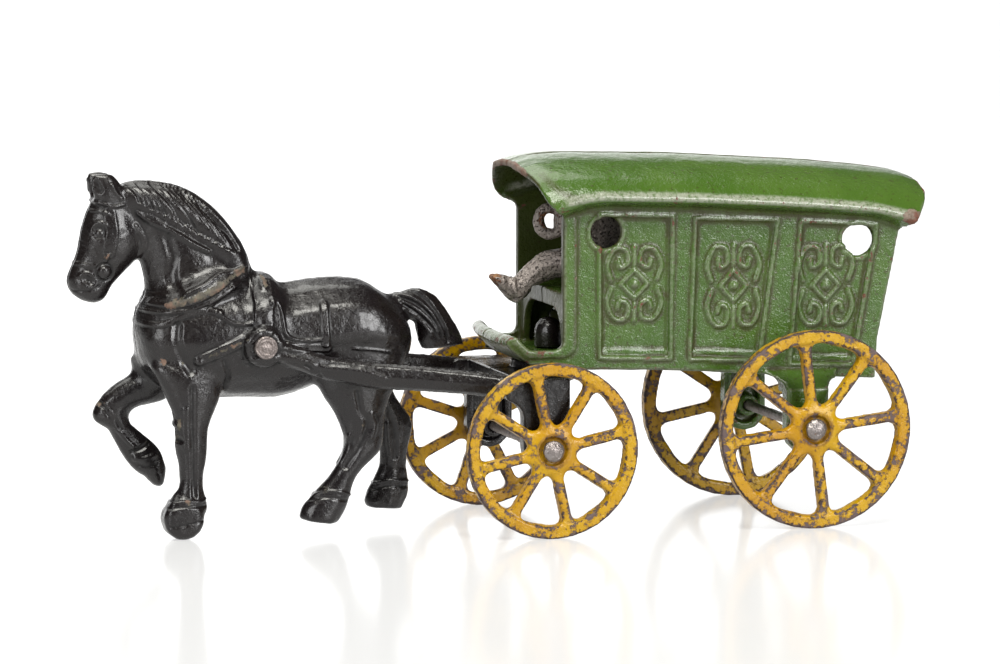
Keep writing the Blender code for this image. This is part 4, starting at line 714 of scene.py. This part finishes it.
# Relief of the side view: kind, path, half width and height in millimetres
BOTH_SIDES = [
    # bridle and head
    ("ridge", ((-90.2, 73.1), (-88.9, 72.9), (-87.2, 72.5), (-85.3, 71.9), (-83.0, 72.3)), 0.5, 0.42),
    ("ridge", ((-89.7, 71.0), (-88.2, 70.9), (-86.6, 70.4)), 0.42, 0.24),
    ("band", ((-86.2, 70.4), (-85.8, 66.5), (-86.5, 62.0)), 1.5, 0.2),
    ("ridge", ((-88.5, 66.5),), 1.7, -0.5),
    ("ball", ((-88.6, 66.3),), 0.8, 0.5),
    ("ridge", ((-90.1, 66.2), (-89.5, 67.9), (-88.3, 68.5), (-87.2, 68.1)), 0.55, 0.24),
    ("ridge", ((-91.4, 71.2), (-91.9, 68.6), (-92.3, 66.4)), 0.9, 0.2),
    ("ridge", ((-86.6, 61.8), (-87.2, 60.0)), 0.5, 0.35),
    ("line", BIT_RING, 0.5, -0.22),
    ("ball", ((-87.4, 57.8),), 1.5, 1.0),
    ("band", ((-94.3, 59.7), (-92.4, 59.6), (-90.8, 59.2), (-89.4, 59.3)), 0.6, 0.22),
    ("ridge", ((-91.1, 56.3), (-90.4, 55.9)), 1.2, -0.6),
    ("ridge", ((-92.6, 57.0), (-91.4, 57.7), (-90.1, 57.2)), 0.6, 0.26),
    ("ridge", ((-94.0, 53.9), (-92.0, 53.8), (-89.6, 54.2), (-88.4, 54.9)), 0.4, -0.24),
    ("ridge", ((-80.3, 67.6), (-78.9, 65.4), (-78.4, 63.2), (-79.4, 60.8)), 0.8, 0.28),
    ("ridge", ((-89.8, 77.5), (-89.6, 76.2), (-89.4, 74.9)), 0.45, 0.3),
    ("ridge", ((-88.8, 77.0), (-88.2, 75.4)), 1.0, -0.4),
    ("ridge", ((-85.6, 76.4), (-84.6, 74.8), (-83.4, 73.4)), 0.6, 0.25),
    # mane edge
    (
        "ridge", ((-79.8, 70.3), (-77.5, 68.7), (-74.0, 67.0), (-71.0, 65.3), (-68.7, 63.8), (-65.0, 61.9)),
        0.8, 0.55,
    ),
    ("ridge", ((-77.7, 70.0), (-76.2, 69.0), (-74.4, 67.9)), 0.5, 0.3),
    # collar
    (
        "ridge", (
            (-71.5, 52.6), (-69.6, 53.7), (-66.6, 55.0), (-64.0, 56.6),
            (-62.4, 57.3), (-59.6, 57.6), (-57.4, 58.8),
        ), 0.6, 0.42,
    ),
    (
        "ridge", ((-79.3, 51.8), (-74.6, 50.9), (-70.0, 51.3), (-65.5, 53.2), (-61.0, 56.0), (-57.0, 57.9)),
        1.5, 0.35,
    ),
    (
        "ridge", ((-80.0, 49.6), (-74.6, 49.2), (-70.0, 49.8), (-65.0, 51.6), (-60.5, 54.2), (-56.6, 56.8)),
        0.5, 0.36,
    ),
    ("ridge", ((-79.6, 50.7), (-74.6, 50.1), (-70.0, 50.5), (-65.3, 52.3), (-60.8, 55.0)), 0.35, -0.3),
    ("ridge", ((-79.0, 52.8), (-76.6, 52.9), (-74.6, 52.7)), 0.5, 0.3),
    # breast and shoulder straps
    (
        "band", ((-80.6, 47.0), (-76.0, 46.6), (-72.0, 48.2), (-68.4, 49.3), (-65.0, 49.4), (-63.4, 48.9)),
        0.75, 0.3,
    ),
    ("ridge", ((-63.4, 48.8),), 1.0, 0.45),
    ("band", ((-63.2, 48.4), (-61.2, 46.9), (-58.6, 46.4), (-56.6, 46.6)), 0.5, 0.3),
    ("band", ((-65.4, 51.0), (-62.4, 53.2), (-59.6, 54.6), (-57.0, 54.4)), 0.9, 0.25),
    ("band", ((-68.2, 38.8), (-64.0, 40.5), (-60.0, 42.2), (-56.4, 44.0)), 1.2, 0.4),
    ("ridge", ((-67.6, 40.0), (-64.2, 41.6), (-60.2, 43.3), (-57.8, 44.9)), 0.4, 0.25),
    ("ridge", ((-68.0, 38.4),), 1.2, 0.45),
    # saddle pad and girth
    ("band", ((-53.0, 58.6), (-53.2, 54.0), (-53.9, 49.0), (-54.2, 45.6)), 2.2, 0.35),
    ("ridge", ((-55.4, 57.4), (-55.6, 54.6), (-55.4, 51.0)), 0.45, 0.3),
    ("ridge", ((-53.1, 55.6), (-53.2, 53.8)), 1.0, 0.3),
    ("ridge", ((-51.7, 50.9),), 1.2, 0.6),
    (
        "band", (
            (-50.6, 51.0), (-50.0, 49.0), (-49.6, 46.0), (-49.2, 44.2),
            (-47.6, 43.0), (-44.6, 42.6), (-41.6, 42.7),
        ), 0.55, 0.4,
    ),
    # hip strap and trace
    ("band", ((-40.4, 50.2), (-40.5, 46.5), (-40.4, 42.0)), 1.0, 0.42),
    ("band", ((-51.0, 42.0), (-48.0, 41.4), (-44.0, 41.1), (-40.0, 40.9)), 1.1, 0.42),
    ("ridge", ((-34.4, 40.6), (-30.0, 40.2), (-25.6, 39.5)), 0.4, 0.25),
    # muscles and the tail's hair
    ("ridge", ((-58.6, 38.6), (-54.0, 39.2), (-48.0, 38.9), (-44.2, 37.6), (-43.2, 35.8)), 0.9, 0.3),
    ("ridge", ((-62.6, 38.6), (-61.6, 35.4), (-61.7, 32.6)), 0.9, -0.45),
    ("ridge", ((-45.2, 37.6), (-43.4, 36.2), (-42.0, 35.0)), 0.8, -0.4),
    ("ridge", ((-42.0, 36.9), (-37.5, 36.6), (-32.5, 35.9), (-28.6, 34.2)), 0.8, 0.25),
    ("ridge", ((-72.3, 53.0), (-73.0, 57.0), (-72.6, 61.0), (-73.6, 64.6)), 1.6, -0.4),
    ("ridge", ((-72.6, 46.4), (-72.9, 43.0), (-71.6, 39.6), (-70.0, 36.6)), 1.4, -0.5),
    ("ridge", ((-23.6, 52.7), (-20.0, 53.0), (-16.0, 51.0), (-12.8, 46.6), (-10.3, 42.0)), 0.5, 0.3),
    ("ridge", ((-22.0, 51.2), (-18.0, 50.0), (-14.5, 46.8), (-11.8, 42.2)), 0.5, 0.35),
    ("ridge", ((-21.2, 49.8), (-17.5, 47.6), (-14.5, 44.8), (-12.6, 41.6)), 0.5, 0.35),
    ("ridge", ((-20.5, 48.0), (-17.2, 45.5), (-14.6, 42.4)), 0.5, 0.35),
    ("ridge", ((-23.0, 52.0), (-19.0, 51.8), (-15.0, 49.0), (-12.0, 44.6), (-10.6, 40.6)), 0.35, -0.35),
    ("ridge", ((-21.4, 50.5), (-17.8, 48.9), (-14.5, 45.8), (-12.2, 41.6)), 0.35, -0.35),
    ("ridge", ((-20.8, 48.9), (-17.3, 46.6), (-14.5, 43.6)), 0.35, -0.35),
]
NEAR_LEGS = [
    ("ridge", ((-69.7, 33.0), (-69.6, 26.0), (-69.4, 18.0), (-69.2, 9.6)), 0.9, -0.4),
    ("ridge", ((-71.2, 28.0), (-71.4, 24.4), (-71.0, 20.0)), 1.2, 0.3),
    ("ridge", ((-73.2, 25.4), (-72.4, 24.6)), 0.7, 0.5),
    ("ridge", ((-73.0, 21.8), (-72.0, 21.6)), 0.8, -0.5),
    ("band", ((-74.4, 8.0), (-71.0, 8.4), (-68.0, 8.2), (-66.0, 8.8)), 0.4, 0.28),
    ("ridge", ((-74.8, 7.0), (-71.0, 7.3), (-66.4, 7.2)), 0.4, -0.25),
    ("ridge", ((-74.9, 2.9), (-71.0, 3.4), (-67.2, 4.2)), 0.35, -0.3),
    ("ridge", ((-33.4, 31.0), (-32.6, 27.0), (-31.0, 24.0), (-32.6, 19.0), (-35.4, 14.6)), 0.9, -0.35),
    ("ridge", ((-34.6, 21.4), (-34.8, 18.2), (-36.4, 15.2)), 0.7, 0.35),
    ("ridge", ((-30.0, 26.0), (-29.2, 23.4), (-30.0, 20.6)), 1.0, 0.3),
    ("band", ((-42.4, 8.6), (-39.6, 9.4), (-36.6, 9.2), (-34.4, 8.4)), 0.4, 0.28),
    ("ridge", ((-44.2, 7.4), (-40.0, 8.2), (-35.2, 7.2)), 0.4, -0.25),
]
FAR_LEGS = [
    ("ridge", ((-84.6, 26.6), (-83.2, 23.4), (-81.2, 20.6), (-79.4, 18.8)), 0.7, 0.35),
    ("ridge", ((-86.6, 28.6), (-85.0, 26.4), (-82.4, 23.0)), 0.8, -0.35),
    ("ridge", ((-79.8, 17.8), (-78.0, 18.2), (-76.0, 19.4)), 0.7, -0.4),
    ("ridge", ((-79.0, 16.2), (-77.2, 16.0), (-74.6, 16.8)), 0.9, 0.35),
    ("ridge", ((-78.2, 14.6), (-76.4, 14.4), (-74.2, 15.0)), 0.4, -0.25),
    ("ridge", ((-24.6, 27.6), (-22.0, 24.0), (-20.8, 19.4), (-20.6, 14.6)), 0.9, -0.35),
    ("ridge", ((-22.6, 22.0), (-22.2, 18.0), (-21.8, 15.0)), 0.7, 0.3),
    ("band", ((-25.2, 8.8), (-22.0, 9.4), (-17.2, 9.0)), 0.4, 0.28),
    ("ridge", ((-25.6, 7.6), (-22.0, 8.2), (-17.0, 7.8)), 0.4, -0.25),
]
# Hair of the mane: x and z at the crest, x and z at the lower edge
MANE = (
    (-81.9, 76.7, -79.3, 71.6), (-80.0, 76.9, -76.6, 69.8), (-78.5, 76.8, -73.4, 68.2),
    (-77.0, 76.6, -70.5, 66.6), (-75.8, 76.3, -69.0, 65.6), (-74.3, 75.9, -67.2, 64.4),
    (-72.8, 75.5, -66.0, 63.4), (-71.2, 74.8, -64.2, 62.4), (-69.7, 74.1, -62.6, 61.4),
    (-68.2, 73.2, -61.1, 60.6), (-66.5, 72.1, -59.8, 60.0), (-65.0, 71.0, -58.6, 59.8),
    (-63.3, 69.4, -57.6, 60.0), (-61.7, 67.4, -57.0, 60.4),
)
STRAND_BOW = 0.55   # how far a lock of hair bows out, in millimetres
# Where a lock's points lie between crest and lower edge
STRAND_STEPS = (-0.1, 0.15, 0.38, 0.6, 0.8)


def mane_strokes():
    """A deep groove between two locks of the mane and a shallow one along each lock."""
    strokes = []
    for first, second in zip(MANE, MANE[1:]):
        middle = [0.5 * (a + b) for a, b in zip(first, second)]
        for row, width, depth in ((first, 0.6, -0.5), (middle, 0.45, -0.36)):
            top = np.array(row[:2])
            foot = np.array(row[2:])
            across = np.array((top[1] - foot[1], foot[0] - top[0]))
            across /= np.linalg.norm(across)
            path = [
                top + (foot - top) * t + across * STRAND_BOW * math.sin(math.pi * t)
                for t in STRAND_STEPS
            ]
            strokes.append(("ridge", path, width, depth))
    return strokes


TRUNK_ROUNDS = 130
REGAINED = 0.12   # put back on the animal after its rounding, in millimetres
# Where the horse's paint is worn: path, width and share
WORN_PLACES = (
    (((-74.0, 51.0), (-69.0, 52.4), (-64.0, 54.8), (-58.0, 58.0)), 2.4, 0.72),
    (((-75.6, 38.6),), 1.8, 0.75), (((-71.6, 38.2),), 1.6, 0.8), (((-86.6, 28.4),), 2.2, 0.6),
    (((-72.4, 26.0), (-72.6, 21.4)), 1.4, 0.7), (((-40.0, 10.2),), 3.0, 0.62), (((-31.6, 24.0),), 2.2, 0.5),
    (((-53.0, 56.0), (-52.6, 54.4)), 1.2, 0.75), (((-66.0, 39.6), (-58.0, 43.2)), 1.4, 0.62),
    (((-88.0, 60.8), (-86.0, 61.6)), 2.0, 0.5), (((-70.6, 8.0),), 2.6, 0.55),
)


def horse_flesh(skin):
    """Share of each vertex in the animal's rounded body, apart from shafts, brackets, boss and ears."""
    x, y, z = skin.co.T
    reach = np.abs(y)
    animal = smooth_step(-x, 19.0, 22.0)
    shaft = smooth_step(x, -52.0, -49.0) * smooth_step(reach, 10.6, 11.4) * smooth_step(-z, -43.0, -41.0)
    boss = smooth_step(-np.hypot(x + 54.2, z - 41.5), -5.6, -4.8) * smooth_step(reach, 9.0, 10.0)
    ears = smooth_step(z, 73.5, 75.0) * smooth_step(-x, 82.5, 83.5)
    return animal * (1.0 - np.maximum(np.maximum(shaft, boss), 0.8 * ears))


def build_horse(name, node):
    skin = Skin(name, node, HORSE_VOXEL)
    skin.smooth(3)
    flesh = horse_flesh(skin)
    trunk = smooth_step(skin.co[:, 2], 24.0, 34.0)
    skin.round_off(TRUNK_ROUNDS, flesh * (0.25 + 0.75 * trunk))
    skin.co = skin.co + skin.normals() * (REGAINED * flesh * ~skin.seam)[:, None]
    skin.soften(2)
    legs = NEAR_LEGS if skin.side < 0 else FAR_LEGS
    skin.emboss(BOTH_SIDES + mane_strokes())
    skin.emboss_both(legs)
    skin.roughen(1.6, 0.06, 14.0 + skin.side)
    flat = skin.co[:, (0, 2)]
    outer = smooth_step(skin.co[:, 1] * skin.side, 0.5, 2.0)
    worn = np.zeros(len(flat))
    for points, width, share in WORN_PLACES:
        worn = np.maximum(worn, share * smooth_step(-gap_to(curve(points), flat), -width, 0.0))
    skin.done(materials["horse"], worn * outer, 0.07)


# Driver

# Relief of the front view: kind, path over y and z, half width and height
FACE = (
    ("ridge", ((-1.9, 73.5), (-1.2, 73.8), (-0.5, 73.5)), 0.45, 0.25),
    ("ridge", ((0.5, 73.5), (1.2, 73.8), (1.9, 73.5)), 0.45, 0.25),
    ("ridge", ((-1.2, 72.7),), 0.9, -0.35),
    ("ridge", ((1.2, 72.7),), 0.9, -0.35),
    ("ball", ((-1.2, 72.7),), 0.4, 0.3),
    ("ball", ((1.2, 72.7),), 0.4, 0.3),
    ("ridge", ((-1.1, 70.4), (0.0, 70.2), (1.1, 70.4)), 0.35, -0.3),
    ("ridge", ((-0.7, 69.7), (0.0, 69.6), (0.7, 69.7)), 0.45, 0.2),
)
COAT = (
    ("ridge", ((-3.0, 67.0), (-1.4, 64.4), (0.0, 61.8)), 0.5, 0.35),
    ("ridge", ((3.0, 67.0), (1.4, 64.4), (0.0, 61.8)), 0.5, 0.35),
    ("ridge", ((0.0, 61.4), (0.0, 57.0), (0.0, 53.0)), 0.35, -0.3),
    ("ball", ((0.9, 60.6),), 0.5, 0.4),
    ("ball", ((0.9, 58.2),), 0.5, 0.4),
    ("ball", ((0.9, 55.8),), 0.5, 0.4),
)
# Folds of the side view
BOOT = (
    ("ridge", ((3.2, 54.2), (3.2, 51.6), (4.4, 49.2)), 0.9, -0.6),
    ("ridge", ((4.6, 53.6), (4.6, 51.2), (6.0, 49.6)), 0.7, 0.4),
    ("ridge", ((-1.4, 53.6), (0.4, 51.4), (2.2, 49.4), (4.0, 48.6)), 0.5, 0.35),
    ("ridge", ((-0.6, 54.0), (1.0, 52.2), (2.6, 50.6)), 0.4, -0.3),
    ("ridge", ((7.6, 56.4), (9.8, 58.0), (12.4, 58.8)), 1.1, -0.35),
    ("ridge", ((8.6, 54.6), (10.6, 56.4), (13.6, 57.2)), 0.7, 0.3),
)
CHEST_X = 16.5   # face and coat lie behind this plane


def build_driver(name, node):
    skin = Skin(name, node, DRIVER_VOXEL)
    skin.smooth(3)
    skin.soften(2)
    skin.emboss_both(BOOT)
    skin.emboss_front(FACE + COAT, CHEST_X)
    skin.roughen(1.1, 0.14, 30.0)
    worn = near_point(skin, -0.6, 54.4, 3.6) + 0.7 * near_point(skin, 12.2, 66.4, 3.4)
    skin.done(materials["driver"], np.clip(worn, 0.0, 1.0), 0.08)


for kind in ("left", "right"):
    build_body("body_casting_" + kind, "body_half_" + kind)
    build_horse("horse_casting_" + kind, "horse_half_" + kind)
    for end in ("front", "rear"):
        build_wheel(f"{end}_{kind}_wheel", f"wheel_{end}_{kind}")
for node, ring in (("front_axle", None), ("rear_axle", None), ("horse_rivet", 2.2)):
    build_pin(node + "_pin", node, ring)
build_driver("seated_driver", "driver")


# Surroundings

WHITE = (1.0, 1.0, 1.0)
FLOOR_REACH = 12.0   # half the floor's side, in metres
FLOOR_GREY = 0.27
FLOOR_GLOW = 0.5   # what makes the floor as white as the photo's
GLOW_TOWARDS = (0.0, 0.99, 0.14)   # where the studio is bright: behind the toy, a little over the floor
GLOW_EDGE = (0.88, 0.985)   # cosine of the angle from there, where the brightness starts and is full
GLOW_STRENGTH = (0.07, 1.9)
# Name, place, what it points at, size, watts and colour
SOFTBOXES = (
    ("key_softbox", (-0.15, -0.5, 0.95), (0.0, 0.0, 0.04), (0.6, 0.45), 13.0, (1.0, 0.985, 0.92)),
    ("top_softbox", (-0.2, 0.36, 0.95), (0.0, 0.0, 0.06), (1.0, 0.75), 8.0, (1.0, 1.0, 0.95)),
    ("left_softbox", (-0.95, -0.9, 0.4), (0.0, 0.0, 0.04), (0.4, 0.5), 4.6, WHITE),
    ("right_softbox", (0.58, -1.08, 0.44), (0.0, 0.0, 0.04), (0.42, 0.56), 11.0, WHITE),
)
CAMERA_PLACE = (-0.35170, -1.23236, 0.18042)
CAMERA_TARGET = (0.001856, 0.0, 0.04194)
CAMERA_ROLL = 0.036   # degrees
SENSOR_WIDTH = 36.0
FOCAL_LENGTH = 211.7


def build_floor():
    mesh = bpy.data.meshes.new("floor")
    corners = [(FLOOR_REACH * x, FLOOR_REACH * y, 0.0) for x, y in ((-1, -1), (1, -1), (1, 1), (-1, 1))]
    mesh.from_pydata(corners, [], [(0, 1, 2, 3)])
    floor = bpy.data.objects.new("floor", mesh)
    bpy.context.scene.collection.objects.link(floor)
    finish = Finish("white_table")
    finish.set(Base_Color=(FLOOR_GREY, FLOOR_GREY, FLOOR_GREY, 1.0), Roughness=0.14, Specular_IOR_Level=0.06)
    finish.set(Emission_Color=(*WHITE, 1.0), Emission_Strength=FLOOR_GLOW)
    mesh.materials.append(finish.material)


def build_world():
    """Dim studio with a bright white wall behind the toy, which shows as background and in the gloss."""
    world = bpy.data.worlds.new("studio")
    bpy.context.scene.world = world
    world.use_nodes = True
    tree = world.node_tree
    tree.nodes.clear()
    place = tree.nodes.new("ShaderNodeTexCoord")
    towards = tree.nodes.new("ShaderNodeVectorMath")
    towards.operation = "DOT_PRODUCT"
    tree.links.new(place.outputs["Generated"], towards.inputs[0])
    towards.inputs[1].default_value = Vector(GLOW_TOWARDS).normalized()
    glow = tree.nodes.new("ShaderNodeMapRange")
    glow.interpolation_type = "SMOOTHSTEP"
    tree.links.new(towards.outputs["Value"], glow.inputs["Value"])
    glow.inputs["From Min"].default_value, glow.inputs["From Max"].default_value = GLOW_EDGE
    glow.inputs["To Min"].default_value, glow.inputs["To Max"].default_value = GLOW_STRENGTH
    background = tree.nodes.new("ShaderNodeBackground")
    background.inputs["Color"].default_value = (*WHITE, 1.0)
    tree.links.new(glow.outputs["Result"], background.inputs["Strength"])
    output = tree.nodes.new("ShaderNodeOutputWorld")
    tree.links.new(background.outputs[0], output.inputs["Surface"])


def build_light(name, place, target, size, power, colour):
    data = bpy.data.lights.new(name, "AREA")
    data.shape = "RECTANGLE"
    data.size, data.size_y = size
    data.energy = power
    data.color = colour
    light = bpy.data.objects.new(name, data)
    light.location = place
    light.rotation_mode = "QUATERNION"
    light.rotation_quaternion = (Vector(target) - Vector(place)).to_track_quat("-Z", "Y")
    bpy.context.scene.collection.objects.link(light)


def build_camera():
    """Camera at the photograph's viewing angle."""
    place = Vector(CAMERA_PLACE)
    target = Vector(CAMERA_TARGET)
    data = bpy.data.cameras.new("camera")
    data.sensor_width = SENSOR_WIDTH
    data.lens = FOCAL_LENGTH
    data.clip_end = 50.0
    camera = bpy.data.objects.new("camera", data)
    camera.location = place
    camera.rotation_mode = "QUATERNION"
    level = (target - place).to_track_quat("-Z", "Y")
    camera.rotation_quaternion = level @ Quaternion((0.0, 0.0, 1.0), math.radians(CAMERA_ROLL))
    bpy.context.scene.collection.objects.link(camera)
    bpy.context.scene.camera = camera


build_floor()
build_world()
for softbox in SOFTBOXES:
    build_light(*softbox)
build_camera()
bpy.context.scene.view_settings.view_transform = "Standard"
